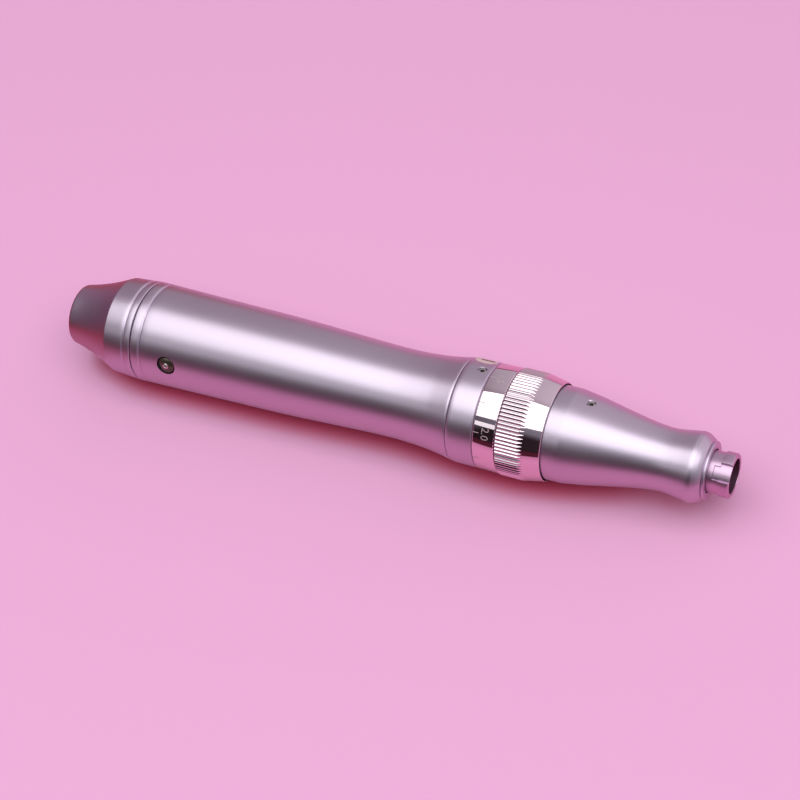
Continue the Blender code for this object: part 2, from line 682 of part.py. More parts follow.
# Body shell
body_radii = (BODY_REAR_RADIUS, GRIP_REAR_RADIUS, GRIP_MIDDLE_RADIUS, GRIP_FRONT_RADIUS,
              WAIST_RADIUS, FLARE_RADIUS, BODY_FRONT_RADIUS)
body_stations = [(body_rear + body_length * share, radius)
                 for share, radius in zip(BODY_STATION_SHARES, body_radii)]
body_curve = flowing(body_stations, 2)
body_outer = with_groove(body_curve, body_rear + BODY_GROOVE_INSET, GROOVE_WIDTH, GROOVE_DEPTH)
wide_bore_front = body_rear + WIDE_BORE_LENGTH
screw_bore = guide_rear_radius + GAP
body_outline = (
    [(body_rear, wide_bore), (body_rear, BODY_REAR_RADIUS - EDGE_CHAMFER),
     (body_rear + EDGE_CHAMFER, BODY_REAR_RADIUS)]
    + body_outer[1:-1]
    + [(body_front - EDGE_CHAMFER, BODY_FRONT_RADIUS - EDGE_CHAMFER / 4),
       (body_front, BODY_FRONT_RADIUS - EDGE_CHAMFER), (body_front, screw_bore),
       (motor_front, screw_bore), (motor_front, main_bore), (wide_bore_front, main_bore),
       (wide_bore_front, wide_bore)])
body_shell = turned("body_shell", body_outline, satin)
cut(body_shell, round_tool("button_hole", button_hole, board_top, BODY_REAR_RADIUS + OVERRUN,
                           button_frame, INNER_STEPS))

# Power button: a dome on a lip that stays under the wall
button_top = radius_at(body_curve, button_x) + BUTTON_PROUD
button_outline = filleted([
    (stem_bottom, 0), (stem_bottom, BUTTON_STEM_RADIUS), (lip_bottom, BUTTON_STEM_RADIUS),
    (lip_bottom, lip_radius), (lip_top, lip_radius), (lip_top, BUTTON_RADIUS),
    (button_top - BUTTON_DOME, BUTTON_RADIUS), (button_top - BUTTON_DOME / 4, BUTTON_RADIUS * 0.6),
    (button_top, 0)])
turned("power_button", button_outline, dark_gloss, button_axis, button_frame, INNER_STEPS)

# Board, switch, chip and saddle; a radial frame's X points towards the tail
board = block("circuit_board", (-board_front, -BOARD_WIDTH / 2, board_bottom),
              (-board_rear, BOARD_WIDTH / 2, board_top), board_frame, green_board)
block("push_switch", (-button_x - SWITCH_WIDTH / 2, -SWITCH_WIDTH / 2, switch_bottom),
      (-button_x + SWITCH_WIDTH / 2, SWITCH_WIDTH / 2, switch_top), board_frame, steel)
chip_front = board_front - CHIP_INSET
block("charge_chip", (-chip_front, -CHIP_WIDTH / 2, board_top + GAP),
      (-chip_front + CHIP_LENGTH, CHIP_WIDTH / 2, board_top + GAP + CHIP_HEIGHT),
      board_frame, black_plastic)
saddle_middle = (board_rear + board_front) / 2
saddle = block("board_saddle",
               (-saddle_middle - SADDLE_LENGTH / 2, -BOARD_WIDTH / 2, saddle_top - SADDLE_DEPTH),
               (-saddle_middle + SADDLE_LENGTH / 2, BOARD_WIDTH / 2, saddle_top),
               board_frame, white_plastic)
cell_clearance = cell_radius + GAP
cut(saddle, round_tool("saddle_hollow", cell_clearance, cell_rear, cell_front,
                       Matrix.Identity(4), INNER_STEPS))

# Cell and the holders at its ends
cell_outline = filleted([
    (cell_rear, 0), (cell_rear, cell_radius, CELL_FILLET), (cell_front, cell_radius, CELL_FILLET),
    (cell_front, CELL_NIPPLE_RADIUS), (cell_front + CELL_NIPPLE_HEIGHT, CELL_NIPPLE_RADIUS),
    (cell_front + CELL_NIPPLE_HEIGHT, 0)])
turned("battery_cell", cell_outline, blue_wrap, steps=INNER_STEPS)
notch_floor = cell_clearance + HOLDER_CUP_WALL


def cell_holder(name, floor_outer, floor_inner, mouth, radius):
    """A cup on the cell's end, open at the mouth, with a notch that lets the leads pass."""
    rear_first = [(floor_outer, HOLDER_HOLE_RADIUS), (floor_outer, radius), (mouth, radius),
                  (mouth, cell_clearance), (floor_inner, cell_clearance),
                  (floor_inner, HOLDER_HOLE_RADIUS)]
    outline = rear_first if mouth > floor_outer else list(reversed(rear_first))
    holder = turned(name, outline, white_plastic, steps=INNER_STEPS)
    low, high = min(floor_outer, mouth) - OVERRUN, max(floor_outer, mouth) + OVERRUN
    cut(holder, block_tool(name + "_notch", (-high, -HOLDER_NOTCH_WIDTH / 2, notch_floor),
                           (-low, HOLDER_NOTCH_WIDTH / 2, radius + OVERRUN), board_frame))


cell_holder("cell_holder_rear", holder_rear, holder_rear + HOLDER_FLOOR,
            holder_rear + HOLDER_FLOOR + HOLDER_CUP, spigot_bore - GAP)
front_floor = front_holder_front - HOLDER_FLOOR
cell_holder("cell_holder_front", front_holder_front, front_floor, front_floor - HOLDER_CUP,
            main_bore - GAP)

# Leads, laid in the board's frame: towards the tail, across, out from the axis
lead_height = (notch_floor + main_bore) / 2
board_height = (board_bottom + board_top) / 2
lead_seat = GAP + LEAD_RADIUS
lead_sides = ((1, "plus", red_lead), (-1, "minus", black_lead))
for side, sign, material in lead_sides:
    across = side * LEAD_SPACING / 2
    start_x = jack_front + lead_seat
    first = (JACK_PIN_RADIUS + lead_seat) if side > 0 else (JACK_BORE_RADIUS + LEAD_RADIUS)
    jack_route = smooth_route([
        (-start_x, 0 if side > 0 else across, first),
        (-start_x, across, (first + lead_height) / 2),
        (-holder_rear, across, lead_height),
        (-holder_rear - HOLDER_FLOOR - HOLDER_CUP, across, lead_height),
        (-board_rear + lead_seat, across, board_height)], 3)
    wire("socket_lead_" + sign, jack_route, LEAD_RADIUS, material, frame=board_frame)
    motor_end = end_cap_rear - TERMINAL_LENGTH / 2
    motor_route = smooth_route([
        (-board_front - lead_seat, across, board_height),
        (-board_front - BOARD_REAR_REACH, across, lead_height),
        (-front_floor, across, lead_height),
        (-front_holder_front, across, lead_height),
        (-motor_end, side * (TERMINAL_OFFSET - lead_seat), TERMINAL_WIDTH)], 3)
    wire("motor_lead_" + sign, motor_route, LEAD_RADIUS, material, frame=board_frame)

# Motor: can, end cap, terminals and the plastic sleeve round it
can_outline = filleted([
    (motor_rear, 0), (motor_rear, motor_radius, MOTOR_FILLET),
    (motor_front, motor_radius, MOTOR_FILLET), (motor_front, MOTOR_BOSS_RADIUS),
    (motor_front + MOTOR_BOSS_HEIGHT, MOTOR_BOSS_RADIUS),
    (motor_front + MOTOR_BOSS_HEIGHT, SHAFT_RADIUS + GAP),
    (motor_front - MOTOR_BOSS_DEPTH, SHAFT_RADIUS + GAP), (motor_front - MOTOR_BOSS_DEPTH, 0)], 1)
motor_can = turned("motor_can", can_outline, steel, steps=INNER_STEPS)
cap_radius = motor_radius - END_CAP_DROP
cap_outline = [(end_cap_rear, 0), (end_cap_rear, cap_radius),
               (end_cap_rear + END_CAP_THICKNESS, cap_radius),
               (end_cap_rear + END_CAP_THICKNESS, 0)]
turned("motor_end_cap", cap_outline, white_plastic, steps=INNER_STEPS)
for side, sign, _ in lead_sides:
    near = side * TERMINAL_OFFSET
    far = side * (TERMINAL_OFFSET + TERMINAL_THICKNESS)
    block("motor_terminal_" + sign,
          (-terminal_rear - TERMINAL_LENGTH, min(near, far), 0),
          (-terminal_rear, max(near, far), TERMINAL_WIDTH), board_frame, brass)
sleeve_outline = [(motor_rear, motor_radius + GAP), (motor_rear, motor_sleeve_radius),
                  (motor_front - GAP, motor_sleeve_radius), (motor_front - GAP, motor_radius + GAP)]
turned("motor_sleeve", sleeve_outline, black_plastic, steps=INNER_STEPS)

# Mounting plate with its two screws
plate_outline = [(plate_rear, MOTOR_BOSS_RADIUS + GAP), (plate_rear, guide_rear_bore - GAP),
                 (plate_front, guide_rear_bore - GAP), (plate_front, MOTOR_BOSS_RADIUS + GAP)]
motor_plate = turned("motor_plate", plate_outline, steel, steps=INNER_STEPS)
for side, sign in ((1, "left"), (-1, "right")):
    screw_frame = Matrix.Translation((0, side * screw_circle, 0))
    screw_end = motor_front - SCREW_GRIP_LENGTH
    screw_outline = [(screw_end, 0), (screw_end, SCREW_RADIUS),
                     (plate_front + GAP, SCREW_RADIUS), (plate_front + GAP, SCREW_HEAD_RADIUS),
                     (screw_head_front, SCREW_HEAD_RADIUS), (screw_head_front, 0)]
    turned("motor_screw_" + sign, screw_outline, steel, frame=screw_frame, steps=SMALL_STEPS)
    hole = round_tool("motor_screw_hole_" + sign, screw_hole, screw_end - GAP,
                      plate_front + OVERRUN, screw_frame)
    cut(motor_plate, hole)
    cut(motor_can, hole)

# Guide sleeve: screwed into the body, it carries the depth ring and guides the rod
clip_seat = guide_radius - CLIP_SEAT_DEPTH
o_ring_x = ring_rear + RING_WEB_THICKNESS / 2
o_ring_path = guide_radius - O_RING_RADIUS
o_ring_floor = guide_radius - 2 * O_RING_RADIUS - GAP
o_ring_half = O_RING_RADIUS + GAP
guide_outline = [
    (plate_rear, guide_rear_bore), (plate_rear, guide_rear_radius),
    (body_front - GAP, guide_rear_radius), (body_front - GAP, guide_radius),
    (o_ring_x - o_ring_half, guide_radius), (o_ring_x - o_ring_half, o_ring_floor),
    (o_ring_x + o_ring_half, o_ring_floor), (o_ring_x + o_ring_half, guide_radius),
    (clip_rear - GAP, guide_radius), (clip_rear - GAP, clip_seat),
    (clip_front + GAP, clip_seat), (clip_front + GAP, guide_radius),
    (guide_front, guide_radius), (guide_front, bush_radius + GAP),
    (bush_rear, bush_radius + GAP), (bush_rear, guide_bore),
    (plate_front + GAP, guide_bore), (plate_front + GAP, guide_rear_bore)]
guide_sleeve = turned("guide_sleeve", guide_outline, steel, steps=INNER_STEPS)
key_slot = FOLLOWER_KEY_RADIUS + GAP
follower_frame = radial(0, FOLLOWER_KEY_ANGLE)
cut(guide_sleeve, block_tool("follower_slot",
                             (-follower_key_x - STROKE - key_slot, -key_slot, head_radius / 2),
                             (-follower_key_x + key_slot, key_slot,
                              guide_radius - EDGE_CHAMFER),
                             follower_frame))
carrier_slot = KEY_RADIUS + GAP
key_bottom = guide_radius - KEY_DEPTH
for angle, sign in ((0.0, "left"), (180.0, "right")):
    cut(guide_sleeve, block_tool("carrier_slot_" + sign,
                                 (-key_x - DEPTH_RANGE / 2 - carrier_slot, -carrier_slot,
                                  key_bottom - GAP),
                                 (-key_x + DEPTH_RANGE / 2 + carrier_slot, carrier_slot,
                                  guide_radius + OVERRUN), radial(0, angle)))

# Rod bush, pressed into the guide sleeve's front wall
flange_radius = bush_radius + BUSH_FLANGE
bush_outline = [(bush_flange_rear, bush_bore), (bush_flange_rear, flange_radius),
                (bush_rear - GAP, flange_radius), (bush_rear - GAP, bush_radius),
                (guide_front, bush_radius), (guide_front, bush_bore)]
turned("rod_bush", bush_outline, brass, steps=INNER_STEPS)

# Index collar
collar_outline = filleted([
    (collar_rear, guide_radius + GAP), (collar_rear, collar_radius - COLLAR_REAR_DROP, EDGE_CHAMFER),
    (collar_rear + COLLAR_LENGTH / 6, collar_radius), (collar_front, collar_radius, EDGE_CHAMFER),
    (collar_front, guide_radius + GAP)], 0)
index_collar = turned("index_collar", collar_outline, satin)
collar_grub_x = collar_rear + COLLAR_GRUB_INSET
cut(index_collar, grub_screw("collar_grub_screw", collar_grub_x, collar_radius, pen_axis))

# Depth ring: scale band, straight knurl and taper in one piece
scale_rear_radius = KNURL_RADIUS - SCALE_REAR_DROP
scale_front_radius = KNURL_RADIUS - SCALE_FRONT_DROP
ring_outline = filleted([
    (ring_rear, guide_radius + GAP), (ring_rear, scale_rear_radius, EDGE_CHAMFER),
    (scale_front - UNDERCUT_WIDTH / 2, scale_front_radius),
    (scale_front, scale_front_radius - UNDERCUT_DEPTH),
    (scale_front + UNDERCUT_WIDTH / 2, KNURL_RADIUS), (knurl_front, KNURL_RADIUS),
    (ring_front, ring_front_radius, EDGE_CHAMFER), (ring_front, nose_bore_radius),
    (counterbore_rear, nose_bore_radius), (counterbore_rear, ring_bore),
    (web_front, ring_bore), (web_front, guide_radius + GAP)], 0)
depth_ring = turned("depth_ring", ring_outline, chrome, ring_axis, steps=RING_STEPS)


def knurl_tool(name):
    """Square bars, turned on edge, whose inner corners cut one V-groove between each two teeth."""
    root = KNURL_RADIUS - KNURL_DEPTH
    reach = KNURL_CUTTER_SHARE * KNURL_DEPTH
    pitch = 2 * math.pi * KNURL_RADIUS / KNURL_TEETH
    spread = (pitch - KNURL_LAND) / (2 * KNURL_DEPTH)
    bar_length = ring_front - scale_front
    shape = bmesh.new()
    for tooth in range(KNURL_TEETH):
        bar = bmesh.ops.create_cube(shape, size=1.0)["verts"]
        bmesh.ops.rotate(shape, verts=bar, cent=(0, 0, 0), matrix=Matrix.Rotation(math.pi / 4, 3, "Z"))
        diagonal = math.sqrt(0.5)
        bmesh.ops.scale(shape, verts=bar,
                        vec=(reach / diagonal, reach * spread / diagonal, bar_length))
        bmesh.ops.translate(shape, verts=bar, vec=(root + reach, 0, scale_front + bar_length / 2))
        angle = 2 * math.pi * tooth / KNURL_TEETH
        bmesh.ops.rotate(shape, verts=bar, cent=(0, 0, 0), matrix=Matrix.Rotation(angle, 3, "Z"))
    mesh = bpy.data.meshes.new(name)
    shape.to_mesh(mesh)
    shape.free()
    item = bpy.data.objects.new(name, mesh)
    place(item, ring_axis, Matrix.Rotation(math.pi / KNURL_TEETH, 4, "Z"), cutters)
    return tool(item)


cut(depth_ring, knurl_tool("knurl_grooves"))

# Retaining clip and friction ring of the depth ring
clip_inner = clip_seat + GAP
clip_outer = clip_inner + CLIP_WIDTH
clip_outline = [(clip_rear, clip_inner), (clip_rear, clip_outer), (clip_front, clip_outer),
                (clip_front, clip_inner)]
ring_clip = turned("ring_clip", clip_outline, steel, steps=INNER_STEPS)
cut(ring_clip, block_tool("clip_mouth", (0, -CLIP_MOUTH / 2, clip_rear - OVERRUN),
                          (clip_outer + OVERRUN, CLIP_MOUTH / 2, clip_front + OVERRUN),
                          Matrix.Identity(4)))
bpy.ops.mesh.primitive_torus_add(major_radius=o_ring_path, minor_radius=O_RING_RADIUS,
                                 major_segments=INNER_STEPS, minor_segments=SMALL_STEPS // 2)
o_ring = bpy.context.object
o_ring.name = "friction_o_ring"
for collection in list(o_ring.users_collection):
    collection.objects.unlink(o_ring)
place(o_ring, pen_axis, along(o_ring_x) @ Matrix.Rotation(math.pi / INNER_STEPS, 4, "Z"))
shade(o_ring.data)
paint(o_ring, rubber)

# Rotor: motor shaft and the cam with its slanted face
shaft_front = cam_middle - GAP
shaft_rear = motor_front - MOTOR_BOSS_DEPTH + GAP
shaft_outline = [(shaft_rear, 0), (shaft_rear, SHAFT_RADIUS), (shaft_front, SHAFT_RADIUS),
                 (shaft_front, 0)]
turned("motor_shaft", shaft_outline, steel, rotor_axis, steps=SMALL_STEPS)
cam_top = cam_middle + cam_radius * math.tan(cam_tilt) + OVERRUN
cam_outline = [(cam_rear, SHAFT_RADIUS + GAP), (cam_rear, cam_radius), (cam_top, cam_radius),
               (cam_top, SHAFT_RADIUS + GAP)]
drive_cam = turned("drive_cam", cam_outline, steel, rotor_axis, steps=INNER_STEPS)
slant = along(cam_middle) @ Matrix.Rotation(cam_tilt, 4, "Y")
slab = 2 * cam_radius + OVERRUN
cut(drive_cam, block_tool("cam_slant", (-slab, -slab, 0), (slab, slab, slab), slant, rotor_axis))
cam_grub_x = cam_rear + CAM_HUB_LENGTH / 2
cam_grub_frame = radial(cam_grub_x, FOLLOWER_KEY_ANGLE)
cam_grub_bottom = SHAFT_RADIUS + GAP
cam_grub_outline = [(cam_grub_bottom, 0), (cam_grub_bottom, CAM_GRUB_RADIUS),
                    (cam_radius - GAP, CAM_GRUB_RADIUS), (cam_radius - GAP, 0)]
turned("cam_grub_screw", cam_grub_outline, steel, rotor_axis, cam_grub_frame, SMALL_STEPS)
cut(drive_cam, round_tool("cam_grub_hole", CAM_GRUB_RADIUS + GAP, 0, cam_radius + OVERRUN,
                          cam_grub_frame, SMALL_STEPS, rotor_axis))

# Push rod, follower head, ball, key and spring
knob_rear = rod_front - ROD_KNOB_LENGTH
neck_rear = knob_rear - ROD_NECK_LENGTH
rod_outline = filleted([
    (head_rear, 0), (head_rear, ROD_RADIUS), (neck_rear, ROD_RADIUS), (neck_rear, ROD_NECK_RADIUS),
    (knob_rear, ROD_NECK_RADIUS), (knob_rear, ROD_KNOB_RADIUS),
    (rod_front, ROD_KNOB_RADIUS, ROD_KNOB_LENGTH / 2), (rod_front, 0)])
turned("push_rod", rod_outline, steel, rod_axis, steps=INNER_STEPS)
head_outline = [(head_rear, bush_bore), (head_rear, head_radius), (head_front, head_radius),
                (head_front, HEAD_HUB_RADIUS), (head_front + HEAD_HUB_LENGTH, HEAD_HUB_RADIUS),
                (head_front + HEAD_HUB_LENGTH, bush_bore)]
follower_head = turned("follower_head", head_outline, white_plastic, rod_axis, steps=INNER_STEPS)
socket_radius = BALL_RADIUS + GAP
ball_frame = radial(ball_x, FOLLOWER_KEY_ANGLE + 180.0) @ Matrix.Translation((0, 0, follower_offset))
cut(follower_head, round_tool("ball_socket", socket_radius, head_rear - OVERRUN,
                              ball_x + socket_radius,
                              Matrix.Translation((-follower_offset, 0, 0)), SMALL_STEPS, rod_axis))
bpy.ops.mesh.primitive_uv_sphere_add(segments=SMALL_STEPS, ring_count=SMALL_STEPS // 2,
                                     radius=BALL_RADIUS)
ball = bpy.context.object
ball.name = "follower_ball"
for collection in list(ball.users_collection):
    collection.objects.unlink(ball)
place(ball, rod_axis, ball_frame)
shade(ball.data)
paint(ball, steel)
key_foot = head_radius - FOLLOWER_KEY_DEPTH
key_tip = guide_radius - EDGE_CHAMFER - GAP
follower_key_frame = radial(follower_key_x, FOLLOWER_KEY_ANGLE)
key_outline = [(key_foot, 0), (key_foot, FOLLOWER_KEY_RADIUS), (key_tip, FOLLOWER_KEY_RADIUS),
               (key_tip, 0)]
turned("follower_key", key_outline, steel, rod_axis, follower_key_frame, SMALL_STEPS)
cut(follower_head, round_tool("follower_key_hole", key_slot, key_foot - GAP,
                              head_radius + OVERRUN, follower_key_frame, SMALL_STEPS, rod_axis))
spring_points = []
spring_steps = SPRING_TURNS * SPRING_POINTS_A_TURN
coil_rear = spring_rear + SPRING_WIRE_RADIUS
coil_front = spring_front - SPRING_WIRE_RADIUS
for step in range(spring_steps + 1):
    turn = 2 * math.pi * step / SPRING_POINTS_A_TURN
    x = coil_rear + (coil_front - coil_rear) * step / spring_steps
    spring_points.append((SPRING_RADIUS * math.cos(turn), SPRING_RADIUS * math.sin(turn), x))
wire("return_spring", spring_points, SPRING_WIRE_RADIUS, steel, parent=rod_axis)

# Nose cone
nose_radii = (nose_rear_radius - NOSE_SHOULDER_DROP, NOSE_UPPER_RADIUS, NOSE_MIDDLE_RADIUS,
              NOSE_WAIST_RADIUS, NOSE_FLARE_RADIUS)
nose_stations = [(ring_front + NOSE_LENGTH * share, radius)
                 for share, radius in zip(NOSE_STATION_SHARES, nose_radii)]
nose_edges = [(ring_front + NOSE_LENGTH * share,
               NOSE_FLARE_RADIUS + (NOSE_RIM_RADIUS - NOSE_FLARE_RADIUS) * drop)
              for share, drop in zip(NOSE_EDGE_SHARES, NOSE_EDGE_DROP_SHARES)]
rim_rear = (nose_edges[-1][0] + nose_front) / 2
skirt_bore = carrier_radius + GAP
spigot_bore_radius = carrier_spigot_radius + GAP
step_x = carrier_step + GAP
collar_front_x = tube_rear + TUBE_COLLAR_LENGTH + GAP
nose_outline = (
    [(nose_rear, skirt_bore), (nose_rear, nose_rear_radius - EDGE_CHAMFER),
     (nose_rear + EDGE_CHAMFER, nose_rear_radius)]
    + flowing(nose_stations, 2)
    + nose_edges
    + [((nose_edges[-1][0] + rim_rear) / 2, NOSE_RIM_RADIUS - NOSE_RIM_GROOVE),
       (rim_rear, NOSE_RIM_RADIUS), (nose_front, NOSE_RIM_RADIUS - EDGE_CHAMFER),
       (nose_front, TUBE_RADIUS + GAP), (collar_front_x, TUBE_RADIUS + GAP),
       (collar_front_x, tube_collar_radius + GAP), (tube_rear, tube_collar_radius + GAP),
       (tube_rear, spigot_bore_radius), (step_x, spigot_bore_radius), (step_x, skirt_bore)])
nose_cone = turned("nose_cone", nose_outline, satin, nose_axis)
nose_grub_x = ring_front + NOSE_GRUB_INSET
nose_grub_surface = radius_at(flowing(nose_stations, 2), nose_grub_x)
cut(nose_cone, grub_screw("nose_grub_screw", nose_grub_x, nose_grub_surface, nose_axis))

# Nose carrier: rides on the depth ring's thread, kept from turning by two keys
carrier_spigot_bore = carrier_spigot_radius - CARRIER_SPIGOT_WALL
passage = ROD_RADIUS + ROD_PASSAGE
carrier_end = carrier_front - CARRIER_END_WALL
carrier_outline = [
    (carrier_rear, carrier_bore), (carrier_rear, carrier_radius), (carrier_step, carrier_radius),
    (carrier_step, carrier_spigot_radius), (carrier_front, carrier_spigot_radius),
    (carrier_front, passage), (carrier_end, passage), (carrier_end, carrier_spigot_bore),
    (carrier_web, carrier_spigot_bore), (carrier_web, carrier_bore)]
nose_carrier = turned("nose_carrier", carrier_outline, brass, nose_axis, steps=INNER_STEPS)
key_top = carrier_radius - EDGE_CHAMFER
for angle, sign in ((0.0, "left"), (180.0, "right")):
    key_frame = radial(key_x, angle)
    outline = [(key_bottom, 0), (key_bottom, KEY_RADIUS), (key_top, KEY_RADIUS), (key_top, 0)]
    turned("carrier_key_" + sign, outline, steel, nose_axis, key_frame, SMALL_STEPS)
    cut(nose_carrier, round_tool("carrier_key_hole_" + sign, carrier_slot, key_bottom,
                                 carrier_radius + OVERRUN, key_frame, SMALL_STEPS, nose_axis))

# Bayonet tube
lip_radius_front = TUBE_RADIUS + BAYONET_LIP
lip_rear = tube_front - BAYONET_LIP_LENGTH
tube_step = tube_rear + TUBE_COLLAR_LENGTH
tube_outline = [
    (tube_rear, TUBE_BORE_RADIUS), (tube_rear, tube_collar_radius), (tube_step, tube_collar_radius),
    (tube_step, TUBE_RADIUS), (lip_rear, TUBE_RADIUS), (lip_rear, lip_radius_front),
    (tube_front - BAYONET_CHAMFER, lip_radius_front), (tube_front, lip_radius_front - BAYONET_CHAMFER),
    (tube_front, TUBE_BORE_RADIUS)]
bayonet_tube = turned("bayonet_tube", tube_outline, steel, nose_axis)
channel_floor = TUBE_RADIUS - BAYONET_FLOOR
for channel in range(BAYONET_CHANNELS):
    middle = CHANNEL_ANGLE + 360.0 * channel / BAYONET_CHANNELS
    cut(bayonet_tube,
        sector_tool("channel_%d" % channel, channel_floor, lip_radius_front + OVERRUN, lip_rear,
                    tube_front + OVERRUN, middle - CHANNEL_HALF_ANGLE, middle + CHANNEL_HALF_ANGLE,
                    nose_axis),
        sector_tool("pocket_%d" % channel, channel_floor + POCKET_RISE,
                    lip_radius_front + OVERRUN, lip_rear - POCKET_LENGTH, tube_front - GAP,
                    middle - POCKET_LOWER_ANGLE, middle + POCKET_UPPER_ANGLE, nose_axis))

print("pen length mm", round(pen_length / MM, 2), "axis height mm", round(axis_height / MM, 2))
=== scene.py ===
# %% [markdown]
# # A microneedling pen on pink paper
#
# The pen lies on its side: a satin lavender handle, a chrome depth ring with a scale and a straight
# knurl, and a flared nose that ends in a thin bayonet tube. Nearly all of it was made on a lathe, so
# the lesson is about turned shapes, and about metal that is only as good as what it reflects.

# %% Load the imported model
import json
import math
from functools import partial

import bmesh
import bpy
from mathutils import Matrix, Vector


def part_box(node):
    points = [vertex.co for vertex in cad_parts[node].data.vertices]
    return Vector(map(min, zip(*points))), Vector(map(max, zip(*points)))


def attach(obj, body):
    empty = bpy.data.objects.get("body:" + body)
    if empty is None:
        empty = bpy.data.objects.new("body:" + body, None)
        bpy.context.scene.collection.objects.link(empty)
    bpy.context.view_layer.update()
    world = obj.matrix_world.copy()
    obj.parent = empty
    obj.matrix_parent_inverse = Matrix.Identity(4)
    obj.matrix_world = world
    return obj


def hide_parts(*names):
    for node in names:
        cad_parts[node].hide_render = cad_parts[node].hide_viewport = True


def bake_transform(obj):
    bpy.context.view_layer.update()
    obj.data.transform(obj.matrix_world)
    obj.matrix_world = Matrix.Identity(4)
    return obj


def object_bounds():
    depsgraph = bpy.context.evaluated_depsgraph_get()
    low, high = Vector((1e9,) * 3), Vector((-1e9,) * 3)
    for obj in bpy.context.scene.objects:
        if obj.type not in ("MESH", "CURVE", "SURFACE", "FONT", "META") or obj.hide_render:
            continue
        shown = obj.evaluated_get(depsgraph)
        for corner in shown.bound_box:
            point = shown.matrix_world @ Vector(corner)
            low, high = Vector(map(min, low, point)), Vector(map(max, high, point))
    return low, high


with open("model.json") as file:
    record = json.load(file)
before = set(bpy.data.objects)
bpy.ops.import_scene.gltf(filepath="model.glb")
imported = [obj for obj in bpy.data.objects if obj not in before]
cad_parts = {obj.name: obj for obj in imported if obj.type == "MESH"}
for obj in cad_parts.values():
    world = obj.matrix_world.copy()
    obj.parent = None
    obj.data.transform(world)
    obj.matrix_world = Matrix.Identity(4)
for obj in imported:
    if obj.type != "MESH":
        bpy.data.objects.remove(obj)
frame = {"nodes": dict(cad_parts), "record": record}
cad_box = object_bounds()
nodes = frame["nodes"]
MM = 0.001
ring_low, ring_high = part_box("depth_ring")
axis_z = (ring_low.z + ring_high.z) / 2
pen_axis = Matrix.Translation((0, 0, axis_z))
print("axis height mm", round(axis_z / MM, 3))

# %% [markdown]
# ## The camera
#
# The picture was taken from above the pen's front right, with the camera tipped a little, so the pen
# runs downhill across the frame. The long lens keeps the far end nearly as large as the near one. The
# camera is placed by direction and distance from one point, then rolled about its line of sight.

# %% Camera
AIM = Vector((1.7, 0.2, 9.5)) * MM
AZIMUTH = math.radians(33.8)
ELEVATION = math.radians(52.0)
ROLL = math.radians(-13.7)
DISTANCE = 527 * MM
LENS_MM = 99.0
NEAREST_SEEN = 10 * MM


def placed(name, data):
    """A new object with this data, linked into the scene."""
    item = bpy.data.objects.new(name, data)
    bpy.context.scene.collection.objects.link(item)
    return item


line_of_sight = Vector((math.sin(AZIMUTH) * math.cos(ELEVATION),
                        -math.cos(AZIMUTH) * math.cos(ELEVATION), math.sin(ELEVATION)))
camera = placed("photo_camera", bpy.data.cameras.new("photo_camera"))
camera.data.lens = LENS_MM
camera.data.clip_start = NEAREST_SEEN
level = line_of_sight.to_track_quat("Z", "Y").to_matrix().to_4x4()
camera.matrix_world = (Matrix.Translation(AIM + line_of_sight * DISTANCE) @ level
                       @ Matrix.Rotation(ROLL, 4, "Z"))
bpy.context.scene.camera = camera
bpy.context.scene.view_settings.view_transform = "Standard"
print("camera at mm", [round(value / MM) for value in camera.matrix_world.translation])

# %% [markdown]
# ## Shader groups for machined metal
#
# Turned metal keeps the fine rings of the cutting tool, blasting leaves a grain over them, and hands
# leave faint smudges. One group makes all three from Object coordinates, and each finish sets its own
# amounts. The group gives a colour, a roughness and a height.


# %% Node helpers
def linear(red, green, blue):
    """An 8-bit screen colour as the linear colour that a shader takes."""
    return tuple(((c / 255 + 0.055) / 1.055) ** 2.4 if c > 10 else c / 255 / 12.92
                 for c in (red, green, blue)) + (1.0,)


def feed(tree, node, inputs):
    """Give a node's inputs plain values, or link other nodes' outputs to them."""
    for label, value in inputs.items():
        if isinstance(value, bpy.types.NodeSocket):
            tree.links.new(value, node.inputs[label])
        else:
            node.inputs[label].default_value = value


def add_node(tree, kind, inputs=None, **settings):
    """A new node with its settings made before its inputs are fed."""
    node = tree.nodes.new(kind)
    for name, value in settings.items():
        setattr(node, name, value)
    feed(tree, node, inputs or {})
    return node


def math_node(tree, operation, *values):
    return add_node(tree, "ShaderNodeMath", dict(enumerate(values)), operation=operation).outputs[0]


def combined(tree, x=0.0, y=0.0, z=0.0):
    return add_node(tree, "ShaderNodeCombineXYZ", {"X": x, "Y": y, "Z": z}).outputs[0]


def noise(tree, vector, scale, detail=2.0):
    return add_node(tree, "ShaderNodeTexNoise",
                    {"Vector": vector, "Scale": scale, "Detail": detail}).outputs["Fac"]


# %% The machined finish group
FLOAT, COLOR = "NodeSocketFloat", "NodeSocketColor"
GRAIN_DETAIL = 3.0
SMUDGE_DETAIL = 4.0

machined_group = bpy.data.node_groups.new("machined_finish", "ShaderNodeTree")
for label, kind, value in (
        ("Colour", COLOR, (0.7, 0.7, 0.7, 1.0)), ("Rings per metre", FLOAT, 3000.0),
        ("Ring share", FLOAT, 0.5), ("Grain per metre", FLOAT, 5000.0),
        ("Smudges per metre", FLOAT, 90.0), ("Roughness", FLOAT, 0.3),
        ("Roughness spread", FLOAT, 0.06), ("Shade spread", FLOAT, 0.04)):
    machined_group.interface.new_socket(label, in_out="INPUT", socket_type=kind).default_value = value
for label, kind in (("Colour", COLOR), ("Roughness", FLOAT), ("Height", FLOAT)):
    machined_group.interface.new_socket(label, in_out="OUTPUT", socket_type=kind)
given = machined_group.nodes.new("NodeGroupInput").outputs
finish_math = partial(math_node, machined_group)

